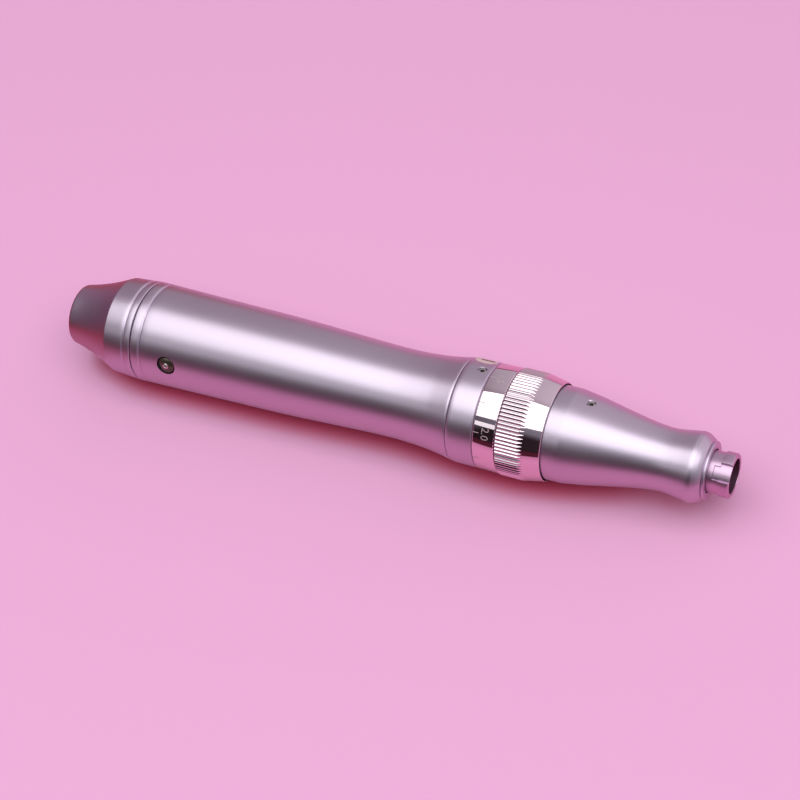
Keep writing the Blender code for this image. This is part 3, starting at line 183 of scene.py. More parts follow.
place = add_node(machined_group, "ShaderNodeTexCoord").outputs["Object"]
along = add_node(machined_group, "ShaderNodeSeparateXYZ", {0: place}).outputs["X"]
rings = noise(machined_group, combined(machined_group, along), given["Rings per metre"])
grain = noise(machined_group, place, given["Grain per metre"], GRAIN_DETAIL)
smudge = noise(machined_group, place, given["Smudges per metre"], SMUDGE_DETAIL)
centred_smudge = finish_math("SUBTRACT", smudge, 0.5)
centred_rings = finish_math("SUBTRACT", rings, 0.5)
spread = finish_math("ADD", centred_smudge, finish_math("MULTIPLY", centred_rings, given["Ring share"]))
roughness = finish_math("MULTIPLY_ADD", spread, given["Roughness spread"], given["Roughness"])
height = finish_math("ADD", finish_math("MULTIPLY", rings, given["Ring share"]), grain)
shade = finish_math("MULTIPLY_ADD", centred_smudge, given["Shade spread"], 1.0)
tint = add_node(machined_group, "ShaderNodeVectorMath", {0: given["Colour"], "Scale": shade},
                operation="SCALE").outputs[0]
add_node(machined_group, "NodeGroupOutput", {"Colour": tint, "Roughness": roughness, "Height": height})
print("finish group", len(machined_group.nodes), "nodes")


# %% Metals, paints and plastics
def new_material(name, color, metallic=0.0, roughness=0.5, specular=0.5):
    """A plain material, and its Principled BSDF."""
    material = bpy.data.materials.new(name)
    material.use_nodes = True
    shader = material.node_tree.nodes["Principled BSDF"]
    feed(material.node_tree, shader, {"Base Color": color, "Metallic": metallic,
                                      "Roughness": roughness, "Specular IOR Level": specular})
    return material, shader


def machined(name, color, roughness, bump, metallic=1.0, **amounts):
    """A material whose colour, roughness and relief come from the machined finish group."""
    material, shader = new_material(name, color, metallic, roughness)
    tree = material.node_tree
    inputs = {label.replace("_", " ").capitalize(): value for label, value in amounts.items()}
    finish = add_node(tree, "ShaderNodeGroup", {"Colour": color, "Roughness": roughness, **inputs},
                      node_tree=machined_group).outputs
    relief = add_node(tree, "ShaderNodeBump",
                      {"Height": finish["Height"], "Distance": bump, "Strength": 1.0})
    feed(tree, shader, {"Base Color": finish["Colour"], "Roughness": finish["Roughness"],
                        "Normal": relief.outputs["Normal"]})
    return material


def moulded(name, color, roughness, bump):
    """A plastic, rubber or paint, without the rings of a tool."""
    return machined(name, color, roughness, bump, metallic=0.0, ring_share=0.0)


satin_lavender = machined("satin_lavender_anodise", linear(199, 188, 203), 0.36, 0.0007 * MM,
                          ring_share=0.06, roughness_spread=0.04, shade_spread=0.04)
chrome = machined("polished_chrome", linear(226, 212, 219), 0.05, 0.00006 * MM,
                  roughness_spread=0.05, shade_spread=0.02, grain_per_metre=1500.0)
turned_steel = machined("turned_steel", linear(198, 172, 194), 0.36, 0.0012 * MM,
                        ring_share=1.2, roughness_spread=0.08)
screw_steel = machined("screw_steel", linear(202, 199, 194), 0.2, 0.0006 * MM)
blued_steel = machined("blued_steel", linear(58, 50, 58), 0.4, 0.001 * MM, roughness_spread=0.1)
turned_brass = machined("turned_brass", linear(214, 180, 110), 0.28, 0.001 * MM, ring_share=1.5)
etched_mark = machined("etched_mark", linear(170, 158, 164), 0.7, 0.002 * MM, metallic=0.0)
dark_dome = machined("dark_gloss_dome", linear(84, 80, 70), 0.16, 0.0002 * MM, metallic=0.6,
                     roughness_spread=0.1)
# painted shade: a dark plum for the tube's bore and the knurl's undercut, where shade falls
painted_shade_plum = machined("blackened_bore", linear(84, 46, 68), 0.6, 0.001 * MM, metallic=0.3)
matte_black = moulded("moulded_black", linear(34, 33, 34), 0.5, 0.002 * MM)
matte_white = moulded("moulded_white", linear(226, 225, 220), 0.42, 0.002 * MM)
solder_green = moulded("solder_mask_green", linear(34, 112, 62), 0.4, 0.002 * MM)
blue_wrap = moulded("blue_shrink_wrap", linear(42, 96, 176), 0.3, 0.001 * MM)
black_rubber = moulded("black_rubber", linear(30, 30, 30), 0.7, 0.003 * MM)
red_insulation = moulded("red_insulation", linear(186, 36, 34), 0.5, 0.001 * MM)
index_paint = moulded("index_paint", linear(206, 190, 184), 0.5, 0.001 * MM)
index_brown = moulded("index_line_paint", linear(104, 62, 70), 0.45, 0.001 * MM)
print("materials", len(bpy.data.materials))

# %% Dress the CAD nodes that stay
FINISHES = {"satin_aluminium": satin_lavender, "chrome": chrome, "steel": screw_steel,
            "dark_gloss": dark_dome, "black_plastic": matte_black, "white_plastic": matte_white,
            "brass": turned_brass, "board_green": solder_green, "cell_wrap": blue_wrap,
            "rubber": black_rubber, "red_lead": red_insulation, "black_lead": black_rubber}
slot_of = {part["node"]: part["material_slot"] for part in frame["record"]["subparts"]}
body_of = {node: body for body, members in frame["record"]["behaviour"]["bodies"].items()
           for node in members}
for node, item in nodes.items():
    item.data.materials.clear()
    item.data.materials.append(FINISHES[slot_of[node]])
print("dressed nodes", len(nodes))

# %% [markdown]
# ## Turned pieces
#
# The CAD solids are spun in a few dozen facets, which is enough for physics but shows on polished
# metal. Each CAD node still holds the exact outline that it was spun from, along any one meridian. So
# the outline is read back, its gentle bends are smoothed, its corners get a small radius that catches
# the light, and it is spun again in many more steps.

# %% Find one meridian of a turned node
WELD = 0.002 * MM
NEAR_AXIS = 5 * WELD
NEAR_LINE = 8 * WELD


def on_meridian(shape):
    """The points of a turned shape on its fullest meridian, each with its (along, radius)."""
    turns = [round(math.degrees(math.atan2(v.co.y, -v.co.z)), 1) for v in shape.verts
             if math.hypot(v.co.y, v.co.z) > NEAR_AXIS and -v.co.z > abs(v.co.y)]
    meridian = math.radians(max(set(turns), key=lambda turn: (turns.count(turn), -abs(turn))))
    on_line = {}
    for v in shape.verts:
        radius = math.hypot(v.co.y, v.co.z)
        turn = abs(math.atan2(v.co.y, -v.co.z) - meridian)
        if radius < NEAR_AXIS or turn * radius < NEAR_LINE:
            on_line[v] = (v.co.x, 0.0 if radius < NEAR_AXIS else radius)
    return on_line


def neighbours(on_line):
    """Each point's neighbours on the meridian, and the two ends that meet on the pen's axis."""
    partners = {v: [e.other_vert(v) for e in v.link_edges if e.other_vert(v) in on_line]
                for v in on_line}
    loose = [v for v in on_line if len(partners[v]) < 2]
    ends = []
    while loose:
        end = loose.pop()
        level = [other for other in loose if other not in partners[end]
                 and abs(on_line[other][0] - on_line[end][0]) < NEAR_AXIS]
        if level:
            mate = min(level, key=lambda other: abs(on_line[other][1] - on_line[end][1]))
            loose.remove(mate)
            partners[end].append(mate)
            partners[mate].append(end)
        else:
            ends.append(end)
    if ends:
        partners[ends[0]].append(ends[1])
        partners[ends[1]].append(ends[0])
    return partners, ends


# %% Read an outline back
def outline_of(node, frame_of=pen_axis):
    """The closed outline that a turned node was spun from, as (along, radius) points."""
    shape = bmesh.new()
    shape.from_mesh(nodes[node].data)
    bmesh.ops.transform(shape, matrix=frame_of.inverted(), verts=shape.verts)
    bmesh.ops.remove_doubles(shape, verts=shape.verts, dist=WELD)
    on_line = on_meridian(shape)
    partners, ends = neighbours(on_line)
    start = max(on_line, key=lambda v: on_line[v][1])
    chain, previous, here = [on_line[start]], start, partners[start][0]
    while True:
        if previous in ends and here in ends:
            chain += [(on_line[v][0], 0.0) for v in (previous, here) if on_line[v][1]]
        if here == start:
            break
        chain.append(on_line[here])
        step = [v for v in partners[here] if v != previous][0]
        previous, here = here, step
    shape.free()
    return chain


# %% Measures of an outline
def sides(outline):
    """Each point of a closed outline with the next one."""
    return zip(outline, outline[1:] + outline[:1])


def span(outline):
    """Where an outline begins and ends along the pen."""
    return min(x for x, _ in outline), max(x for x, _ in outline)


def thickest(outline):
    return max(radius for _, radius in outline)


def surface_at(outline, x):
    """The largest radius of a closed outline at one station along the pen."""
    return max(r0 + (r1 - r0) * (x - x0) / (x1 - x0) for (x0, r0), (x1, r1) in sides(outline)
               if min(x0, x1) <= x <= max(x0, x1) and x0 != x1)


def reaching(outline, rear, front):
    """The outline with its end faces moved out, because a real seam is finer than the CAD's gap."""
    low, high = span(outline)
    return [(x - rear if x < low + WELD else x + front if x > high - WELD else x, r)
            for x, r in outline]


# %% Smooth an outline and round its corners
CORNER = math.radians(13)
EDGE_RADIUS = 0.1 * MM
CRISP_RADIUS = 0.04 * MM
DOME_RISE = 0.3     # a face that meets the axis flatter than this is a dome


def bend_at(points, index):
    here = Vector(points[index])
    back = here - Vector(points[index - 1])
    ahead = Vector(points[(index + 1) % len(points)]) - here
    return back.angle(ahead)


def rounded(back, here, ahead, edge):
    """Three points round a corner, or the corner alone where it lies on the axis."""
    reach = 0 if here.y == 0 else min(edge, (ahead - here).length / 3, (here - back).length / 3)
    if not reach:
        return [here]
    into, out = (back - here).normalized() * reach, (ahead - here).normalized() * reach
    return [(here + into).lerp(here, share).lerp(here.lerp(here + out, share), share)
            for share in (0.0, 0.5, 1.0)]


def refined(points, pieces=6, edge=EDGE_RADIUS, crease=None):
    """The same closed outline, with gentle bends drawn as curves and corners rounded."""
    count = len(points)
    corner = [bend_at(points, i) > CORNER or points[i][1] == 0 or points[i][0] == crease
              for i in range(count)]
    fine = []
    for i in range(count):
        after = (i + 1) % count
        back, here, ahead, beyond = (Vector(points[k % count]) for k in range(i - 1, i + 3))
        length = (ahead - here).length
        domed = [points[k][1] == 0 and abs(ahead.x - here.x) < DOME_RISE * abs(ahead.y - here.y)
                 for k in (i, after)]
        fine += rounded(back, here, ahead, edge) if corner[i] else [here]
        on_axis = points[i][1] == 0 and points[after][1] == 0
        if (corner[i] and corner[after] and not any(domed)) or on_axis:
            continue
        straight, square = ahead - here, Vector((0, ahead.y - here.y))
        slope_in = square if domed[0] else straight
        if not corner[i]:
            slope_in = (ahead - back) * length / (length + (here - back).length)
        slope_out = square if domed[1] else straight
        if not corner[after]:
            slope_out = (beyond - here) * length / (length + (beyond - ahead).length)
        first = max(1, round(pieces * edge / length)) if corner[i] else 1
        for t in (step / pieces for step in range(first, pieces)):
            if corner[after] and (1 - t) * length < edge:
                continue
            fine.append((2 * t ** 3 - 3 * t ** 2 + 1) * here + (t ** 3 - 2 * t ** 2 + t) * slope_in
                        + (3 * t ** 2 - 2 * t ** 3) * ahead + (t ** 3 - t ** 2) * slope_out)
    return [(point.x, max(point.y, 0.0)) for point in fine]


# %% Spin an outline into a closed skin
FINE_STEPS, INNER_STEPS, SMALL_STEPS, TINY_STEPS = 192, 96, 64, 48
SHARP_EDGE = math.radians(40)


def radial(x, angle):
    """A frame whose X points straight out of the pen at x, angle degrees up from the front side."""
    return (Matrix.Translation((x, 0, axis_z)) @ Matrix.Rotation(-math.radians(angle), 4, "X")
            @ Matrix.Rotation(-math.pi / 2, 4, "Z"))


def spun(name, outline, material, frame_of=pen_axis, steps=FINE_STEPS):
    """A closed outline of (along, radius) points turned about the frame's X, poles closed."""
    points = [p for p, q in sides(outline) if math.dist(p, q) > WELD / 10]
    area = sum(x0 * r1 - x1 * r0 for (x0, r0), (x1, r1) in sides(points))
    if area > 0:
        points.reverse()
    turns = [2 * math.pi * step / steps for step in range(steps)]
    verts, circles, faces = [], [], []
    for along, radius in points:
        circles.append((len(verts), radius))
        verts += [(along, radius * math.sin(turn), -radius * math.cos(turn))
                  for turn in (turns if radius else turns[:1])]
    for (here, here_radius), (there, there_radius) in sides(circles):
        for step in range(steps):
            ahead = (step + 1) % steps
            if here_radius and there_radius:
                faces.append((here + step, here + ahead, there + ahead, there + step))
            elif here_radius:
                faces.append((here + step, here + ahead, there))
            elif there_radius:
                faces.append((here, there + ahead, there + step))
    mesh = bpy.data.meshes.new(name)
    mesh.from_pydata(verts, [], faces)
    mesh.transform(frame_of)
    mesh.shade_smooth()
    mesh.set_sharp_from_angle(angle=SHARP_EDGE)
    mesh.materials.append(material)
    return placed(name, mesh)


# %% Simple outlines, cuts and stand-ins
def cylinder(low, high, radius):
    return [(low, 0.0), (low, radius), (high, radius), (high, 0.0)]


def hoop(low, high, inner, outer):
    return [(low, inner), (high, inner), (high, outer), (low, outer)]


def evaluated_mesh(item):
    """The plain mesh that an object's modifiers, or its text, come to."""
    return bpy.data.meshes.new_from_object(item.evaluated_get(bpy.context.evaluated_depsgraph_get()))


def bake(item):
    """Make what an object's modifiers come to its own mesh, without double points."""
    item.modifiers.new("weld", "WELD").merge_threshold = WELD / 10
    item.data = evaluated_mesh(item)
    item.modifiers.clear()
    return item.data


def cut(item, cutter):
    """Take a cutter out of a piece and leave a plain mesh."""
    boolean = item.modifiers.new("cut", "BOOLEAN")
    boolean.operation = "DIFFERENCE"
    boolean.solver = "EXACT"
    boolean.object = cutter
    bake(item).set_sharp_from_angle(angle=SHARP_EDGE)
    bpy.data.objects.remove(cutter)


def stands_for(item, node):
    """Hide a CAD node behind its finer piece, which moves with the same body."""
    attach(item, body_of[node])
    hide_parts(node)
    print(item.name, len(item.data.polygons), "faces")


# %% [markdown]
# ## Handle
#
# The tail cap, the body shell and the index collar are plain turned aluminium, blasted and anodised.
# Fine spinning is all they need. The button's and the grub screw's holes are cut with a drill that
# flares at the surface, because a real hole has its burr broken.

# %% Drill a hole
HOLE_BREAK = 0.06 * MM


def middle_x(node):
    low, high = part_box(node)
    return ((low + high) / 2).x


def frame_at(node, angle):
    return radial(middle_x(node), angle)


def drill(item, outline, node, angle, radius):
    """Cut a hole deep enough for the node that sits in it, with a small flare at the surface."""
    low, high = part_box(node)
    surface = surface_at(outline, middle_x(node))
    depth, top = surface - (high - low).length, surface + 2 * HOLE_BREAK
    cut(item, spun("drill", [(depth, 0.0), (depth, radius), (surface - HOLE_BREAK, radius),
                             (top, radius + 3 * HOLE_BREAK), (top, 0.0)], screw_steel,
                   frame_at(node, angle), SMALL_STEPS))


# %% Tail cap, body shell and index collar
BUTTON_ANGLE = 19.0
BUTTON_GAP = 0.36 * MM
GRUB_ANGLE = 108.0
SEAM_REACH = 0.1 * MM

tail_skin = spun("tail_cap_turned", refined(outline_of("tail_cap"), edge=CRISP_RADIUS), satin_lavender)
stands_for(tail_skin, "tail_cap")

body_outline = refined(reaching(outline_of("body_shell"), SEAM_REACH, SEAM_REACH), edge=CRISP_RADIUS)
body_skin = spun("body_shell_turned", body_outline, satin_lavender)
button_frame = frame_at("power_button", BUTTON_ANGLE)
button_outline = outline_of("power_button", button_frame)
button_radius = sorted(radius for _, radius in button_outline)[-3]  # the two largest are its lip's
drill(body_skin, body_outline, "power_button", BUTTON_ANGLE, button_radius + BUTTON_GAP)
stands_for(body_skin, "body_shell")

collar_outline = refined(reaching(outline_of("index_collar"), SEAM_REACH, SEAM_REACH))
collar_skin = spun("index_collar_turned", collar_outline, satin_lavender)
grub_low, grub_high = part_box("collar_grub_screw")
grub_hole = (grub_high.x - grub_low.x) / 2 + SEAM_REACH
drill(collar_skin, collar_outline, "collar_grub_screw", GRUB_ANGLE, grub_hole)
stands_for(collar_skin, "index_collar")

# %% [markdown]
# ## Nose
#
# The nose cone is one more turned shell. Its flare ends in two small steps and a thin groove, which
# are already in the CAD outline. Where the short straight shoulder turns into the cone, the real part
# shows a faint line, so that one gentle bend is kept as a crease.

# %% Nose cone
SHOULDER_SHARE = 0.99   # the shoulder is all that is nearly as thick as the thickest point

nose_line = outline_of("nose_cone")
shoulder_end = max(x for x, radius in nose_line if radius > SHOULDER_SHARE * thickest(nose_line))
nose_outline = refined(nose_line, crease=shoulder_end)
nose_skin = spun("nose_cone_turned", nose_outline, satin_lavender)
drill(nose_skin, nose_outline, "nose_grub_screw", GRUB_ANGLE, grub_hole)
stands_for(nose_skin, "nose_cone")

# %% [markdown]
# ## Depth ring
#
# One bar of brass was turned, knurled and plated. A straight knurl is a rule, not a shape: between
# each two teeth a V as deep as the tooth. So a Geometry Nodes tree pushes every point of the spun
# ring in to the V's wall wherever it stands outside it. Where the V runs out on the front taper, the
# same rule leaves the row of small arches that a real knurl has.


# %% How a Geometry Nodes tree begins and ends
def new_tree(name, lengths, counts=()):
    """A Geometry Nodes tree with named inputs, and its inputs' sockets."""
    tree = bpy.data.node_groups.new(name, "GeometryNodeTree")
    sockets = [("Geometry", "NodeSocketGeometry"), *((label, "NodeSocketInt") for label in counts),
               *((label, FLOAT) for label in lengths), ("Material", "NodeSocketMaterial")]
    for label, kind in sockets:
        tree.interface.new_socket(label, in_out="INPUT", socket_type=kind)
    tree.interface.new_socket("Geometry", in_out="OUTPUT", socket_type="NodeSocketGeometry")
    return tree, tree.nodes.new("NodeGroupInput").outputs


def end_tree(tree, geometry, material):
    realized = add_node(tree, "GeometryNodeRealizeInstances", {0: geometry})
    finished = add_node(tree, "GeometryNodeSetMaterial",
                        {"Geometry": realized.outputs[0], "Material": material})
    add_node(tree, "NodeGroupOutput", {0: finished.outputs[0]})


def grow(item, tree, **values):
    """Run a Geometry Nodes tree with named inputs and keep the result as a plain mesh."""
    modifier = item.modifiers.new(tree.name, "NODES")
    modifier.node_group = tree
    for socket in tree.interface.items_tree:
        key = socket.name.replace(" ", "_").lower()
        if socket.in_out == "INPUT" and key in values:
            modifier[socket.identifier] = values[key]
    item.update_tag()
    bake(item)


# %% The knurl tree
knurl_tree, into = new_tree("straight_knurl", ("Teeth", "Crest radius", "Depth", "Land", "Starts at",
                                               "Ends at", "Axis height"))
knurl_math = partial(math_node, knurl_tree)
position = add_node(knurl_tree, "GeometryNodeInputPosition").outputs[0]
place = add_node(knurl_tree, "ShaderNodeSeparateXYZ", {0: position}).outputs
up = knurl_math("SUBTRACT", place["Z"], into["Axis height"])
radius = knurl_math("SQRT", knurl_math("ADD", knurl_math("MULTIPLY", place["Y"], place["Y"]),
                                       knurl_math("MULTIPLY", up, up)))

# the V's wall rises from the root in the middle of each valley
turn = knurl_math("DIVIDE", knurl_math("ARCTAN2", place["Y"], up), 2 * math.pi)
in_tooth = knurl_math("FRACT", knurl_math("MULTIPLY", turn, into["Teeth"]))
from_valley = knurl_math("ABSOLUTE", knurl_math("SUBTRACT", in_tooth, 0.5))
around = knurl_math("MULTIPLY", into["Crest radius"], 2 * math.pi)
pitch = knurl_math("DIVIDE", around, into["Teeth"])
side_way = knurl_math("MULTIPLY", from_valley, pitch)
half_mouth = knurl_math("MULTIPLY", knurl_math("SUBTRACT", pitch, into["Land"]), 0.5)
rise = knurl_math("DIVIDE", knurl_math("MULTIPLY", side_way, into["Depth"]), half_mouth)
root = knurl_math("SUBTRACT", into["Crest radius"], into["Depth"])
wall = knurl_math("ADD", root, rise)

pushed = knurl_math("DIVIDE", knurl_math("MINIMUM", wall, radius), radius)
moved = combined(knurl_tree, place["X"], knurl_math("MULTIPLY", place["Y"], pushed),
                 knurl_math("MULTIPLY_ADD", up, pushed, into["Axis height"]))
inside = knurl_math("MULTIPLY", knurl_math("GREATER_THAN", place["X"], into["Starts at"]),
                    knurl_math("LESS_THAN", place["X"], into["Ends at"]))
knurled = add_node(knurl_tree, "GeometryNodeSetPosition",
                   {"Geometry": into["Geometry"], "Selection": inside, "Position": moved})
end_tree(knurl_tree, knurled.outputs[0], into["Material"])
print("knurl tree", len(knurl_tree.nodes), "nodes")

# %% Spin and knurl the ring
KNURL_TEETH = 84
KNURL_LAND_SHARE = 0.3
KNURL_DEPTH = 0.26 * MM
KNURL_RUN_OUT = 12 * KNURL_DEPTH    # how far the V's reach on to the front taper at most
KNURL_SHARP_EDGE = math.radians(25)
STEPS_PER_TOOTH = 10
TAPER_STEPS = 50

ring_outline = reaching(outline_of("depth_ring"), SEAM_REACH, 0)
crest = thickest(ring_outline)
knurl_rear, knurl_front = span([(x, radius) for x, radius in ring_outline if radius > crest - WELD])
true_crest = ring_high.z - axis_z
dense = []
for (x0, r0), (x1, r1) in sides(ring_outline):
    dense.append((x0, min(r0, true_crest)))
    on_taper = min(x0, x1) >= knurl_front - WELD and max(r0, r1) > crest - WELD
    if on_taper and abs(x1 - x0) > KNURL_DEPTH:
        for t in (step / TAPER_STEPS for step in range(1, TAPER_STEPS)):
            r = r0 + (r1 - r0) * t
            if r > crest - 1.5 * KNURL_DEPTH:
                dense.append((x0 + (x1 - x0) * t, min(r, true_crest)))
ring_skin = spun("depth_ring_knurled", refined(dense, 1, CRISP_RADIUS), chrome,
                 steps=KNURL_TEETH * STEPS_PER_TOOTH)
knurl_pitch = 2 * math.pi * true_crest / KNURL_TEETH
grow(ring_skin, knurl_tree, teeth=float(KNURL_TEETH), crest_radius=true_crest, depth=KNURL_DEPTH,
     land=KNURL_LAND_SHARE * knurl_pitch, starts_at=knurl_rear - KNURL_DEPTH,
     ends_at=knurl_front + KNURL_RUN_OUT, axis_height=axis_z, material=chrome)
ring_skin.data.set_sharp_from_angle(angle=KNURL_SHARP_EDGE)
stands_for(ring_skin, "depth_ring")

# %% [markdown]
# Between the scale's band and the knurl runs a narrow undercut. It shows as a dark line where shade
# falls, so its floor gets a hoop of painted shade.

# %% Paint shade into the undercut
UNDERCUT_REACH = 1 * MM
GROOVE_FILL = 0.14 * MM

groove_x, groove_floor = min(((x, r) for x, r in ring_outline
                              if knurl_rear - UNDERCUT_REACH < x < knurl_rear), key=lambda p: p[1])
groove_half = (knurl_rear - groove_x) / 2
# painted shade: a dark hoop on the undercut's floor stands in for the shade in the groove
undercut_painted_shade = spun("knurl_groove_blackening",
                    hoop(groove_x - groove_half, groove_x + groove_half,
                         groove_floor - CRISP_RADIUS, groove_floor + GROOVE_FILL), painted_shade_plum)
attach(undercut_painted_shade, "depth_ring")
print("undercut width mm", round(2 * groove_half / MM, 2))

# %% [markdown]
# ## The scale
#
# Eleven marks stand round the ring, one for each quarter of a millimetre, and every second one has
# its number. The marks are one small bar, repeated by a Geometry Nodes tree. The numbers are text
# turned into a mesh and wrapped round the slightly conical band.

# %% The tree that repeats a bar round the ring
marks_tree, into = new_tree("marks_round_a_band", (
    "First turn", "Turn each", "Station", "Radius", "Slope", "Length", "Width", "Thickness",
    "Axis height"), counts=("Count",))
marks_xyz = partial(combined, marks_tree)
line = add_node(marks_tree, "GeometryNodeMeshLine", {"Count": into["Count"], "Offset": (0, 0, 0)})
bar = add_node(marks_tree, "GeometryNodeMeshCube",
               {"Size": marks_xyz(into["Length"], into["Width"], into["Thickness"])})
lifted = add_node(marks_tree, "GeometryNodeTransform",
                  {"Geometry": bar.outputs["Mesh"], "Rotation": marks_xyz(0.0, into["Slope"]),
                   "Translation": marks_xyz(into["Station"], 0.0, into["Radius"])})
index = add_node(marks_tree, "GeometryNodeInputIndex").outputs[0]
turned_by = math_node(marks_tree, "MULTIPLY_ADD", index, into["Turn each"], into["First turn"])
repeated = add_node(marks_tree, "GeometryNodeInstanceOnPoints",
                    {"Points": line.outputs["Mesh"], "Instance": lifted.outputs[0],
                     "Rotation": marks_xyz(turned_by)})
raised = add_node(marks_tree, "GeometryNodeTransform",
                  {"Geometry": repeated.outputs[0],
                   "Translation": marks_xyz(0.0, 0.0, into["Axis height"])})
end_tree(marks_tree, raised.outputs[0], into["Material"])
print("marks tree", len(marks_tree.nodes), "nodes")

# %% Marks of the scale
MARKS = 11
MARK_TURN = math.radians(32.5)
MARK_LENGTH = 1.5 * MM
MARK_WIDTH = 0.19 * MM
MARK_THICKNESS = 0.03 * MM
MARK_INSET = 0.15 * MM
INDEX_ANGLE = 133.1
HALF_SCALE_TURN = 162.5

band = [(x, r) for x, r in ring_outline if x < knurl_rear - WELD]
band_rear = span(ring_outline)[0]
mark_x = band_rear + MARK_INSET + MARK_LENGTH / 2
mark_radius = surface_at(band, mark_x)
band_slope = math.atan2(surface_at(band, mark_x + MARK_LENGTH) - mark_radius, MARK_LENGTH)
marks = placed("scale_marks", bpy.data.meshes.new("scale_marks"))
grow(marks, marks_tree, count=MARKS, first_turn=math.radians(90 - INDEX_ANGLE - HALF_SCALE_TURN),
     turn_each=MARK_TURN, station=mark_x, radius=mark_radius, slope=-band_slope, length=MARK_LENGTH,
     width=MARK_WIDTH, thickness=MARK_THICKNESS, axis_height=axis_z, material=etched_mark)
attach(marks, "depth_ring")
print("scale marks", len(marks.data.polygons), "faces")


# %% Wrap a flat mesh round a turned surface
def wrapped(name, flat_pieces, outline, material, lift):
    """Flat meshes (x to the right, y up, z out), each laid on the surface at its own x and angle."""
    shape = bmesh.new()
    for flat, x, angle in flat_pieces:
        done = len(shape.verts)
        shape.from_mesh(flat)
        for v in list(shape.verts)[done:]:
            across, up_pen, out = v.co
            radius = surface_at(outline, x + up_pen) + lift + out
            turn = math.radians(angle) - across / radius
            v.co = (x + up_pen, -radius * math.cos(turn), axis_z + radius * math.sin(turn))
    bmesh.ops.remove_doubles(shape, verts=shape.verts, dist=WELD / 10)
    bmesh.ops.recalc_face_normals(shape, faces=shape.faces)
    mesh = bpy.data.meshes.new(name)
    shape.to_mesh(mesh)
    shape.free()
    mesh.materials.append(material)
    return placed(name, mesh)


# %% Numbers of the scale
NUMBER_SIZE = 2.6 * MM
NUMBER_INSET = 3.15 * MM
STROKE_THINNING = 0.02 * MM
MM_PER_MARK = 0.25


def flat_text(words, size, depth):
    """Text as a thin closed mesh, centred on the origin."""
    curve = bpy.data.curves.new("words", "FONT")
    curve.body = words
    curve.size = size
    curve.extrude = depth / 2
    curve.offset = -STROKE_THINNING
    curve.align_x, curve.align_y = "CENTER", "CENTER"
    writer = placed("words", curve)
    flat = evaluated_mesh(writer)
    bpy.data.objects.remove(writer)
    height = [v.co.y for v in flat.vertices]
    for v in flat.vertices:
        v.co.y -= (max(height) + min(height)) / 2
    return flat


numbers = wrapped(
    "scale_numbers",
    [(flat_text(f"{mark * MM_PER_MARK:.1f}" if mark else "0", NUMBER_SIZE, MARK_THICKNESS),
      band_rear + NUMBER_INSET, INDEX_ANGLE + HALF_SCALE_TURN - math.degrees(MARK_TURN) * mark)
     for mark in range(0, MARKS, 2)],
    band, etched_mark, MARK_THICKNESS / 3)
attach(numbers, "depth_ring")
print("numbers", len(numbers.data.polygons), "faces")

# %% [markdown]
# The scale is read against an index mark on the collar behind it: a pale oval with a brown line. Both
# are thin plates of cells fine enough to bend with the collar.

# %% Index mark
INDEX_COLUMNS = 16
INDEX_ROWS = 12
INDEX_SHIFT = 0.1 * MM
LINE_SHIFT = 0.3 * MM


def flat_obround(length, width, depth):
    """A thin closed plate with round ends, long along y, in enough cells to bend smoothly."""
    verts = []
    for step in range(INDEX_COLUMNS + 1):
        across = -width / 2 * math.cos(math.pi * step / INDEX_COLUMNS)
        reach = (length - width) / 2 + math.sqrt(max((width / 2) ** 2 - across ** 2, 0.0))
        line = [(across, reach * (2 * row / INDEX_ROWS - 1)) for row in range(INDEX_ROWS + 1)]
        verts += [(*p, -depth / 2) for p in line] + [(*p, depth / 2) for p in reversed(line)]
    ring = 2 * (INDEX_ROWS + 1)
    last = len(verts) - ring
    faces = [(here, here + ring, there + ring, there) for start in range(0, last, ring)
             for here, there in sides(list(range(start, start + ring)))]
    for start in (0, last):
        faces += [(start + row, start + row + 1, start + ring - 2 - row, start + ring - 1 - row)
                  for row in range(INDEX_ROWS)]
    flat = bpy.data.meshes.new("obround")
    flat.from_pydata(verts, [], faces)
    return flat


index_x = sum(span(collar_outline)) / 2 + INDEX_SHIFT
for name, length, width, shift, paint, lift in (
        ("index_mark", 5.6 * MM, 4.6 * MM, 0.0, index_paint, MARK_THICKNESS / 3),
        ("index_mark_line", 3.6 * MM, 1.0 * MM, LINE_SHIFT, index_brown, MARK_THICKNESS)):
    flat = flat_obround(length, width, MARK_THICKNESS)
    item = wrapped(name, [(flat, index_x + shift, INDEX_ANGLE)], collar_outline, paint, lift)
    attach(item, "handle")
    print(name, len(item.data.polygons), "faces")

# %% [markdown]
# ## Button and small screws
#
# The power button is a low glossy dome with a pin hole and a bright low ring round it. The two small
# screws that hold the collar and the nose are headless, with a hexagon socket, and sit just below the
# surface.

# %% Power button
DOT_RADIUS = 0.24 * MM
DOT_TAPER = 0.9
DOME_PIECES = 8
LIGHT_RING_RADIUS = 0.8 * MM
LIGHT_RING_RISE = 0.2 * MM
LIGHT_RING_PIECES = 10

button_top = span(button_outline)[1]
dot_floor = button_top - DOT_RADIUS
button_profile = []
for along, radius in button_outline:
    if along > button_top - WELD and radius == 0:
        button_profile += [(dot_floor, 0.0), (dot_floor, DOT_RADIUS * DOT_TAPER),
                           (button_top - WELD, DOT_RADIUS)]
    else:
        button_profile.append((along, radius))
button_skin = spun("power_button_dome", refined(button_profile, DOME_PIECES, EDGE_RADIUS), dark_dome,
                   button_frame, SMALL_STEPS)
stands_for(button_skin, "power_button")

ring_middle = (LIGHT_RING_RADIUS + DOT_RADIUS) / 2
ring_profile = [(dot_floor, DOT_RADIUS), (dot_floor, LIGHT_RING_RADIUS)]
for turn in (math.pi * step / LIGHT_RING_PIECES for step in range(LIGHT_RING_PIECES + 1)):
    ring_profile.append((button_top - WELD + LIGHT_RING_RISE * math.sin(turn),
                         ring_middle + (LIGHT_RING_RADIUS - ring_middle) * math.cos(turn)))
light_ring = spun("button_light_ring", ring_profile, screw_steel, button_frame, TINY_STEPS)
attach(light_ring, "power_button")


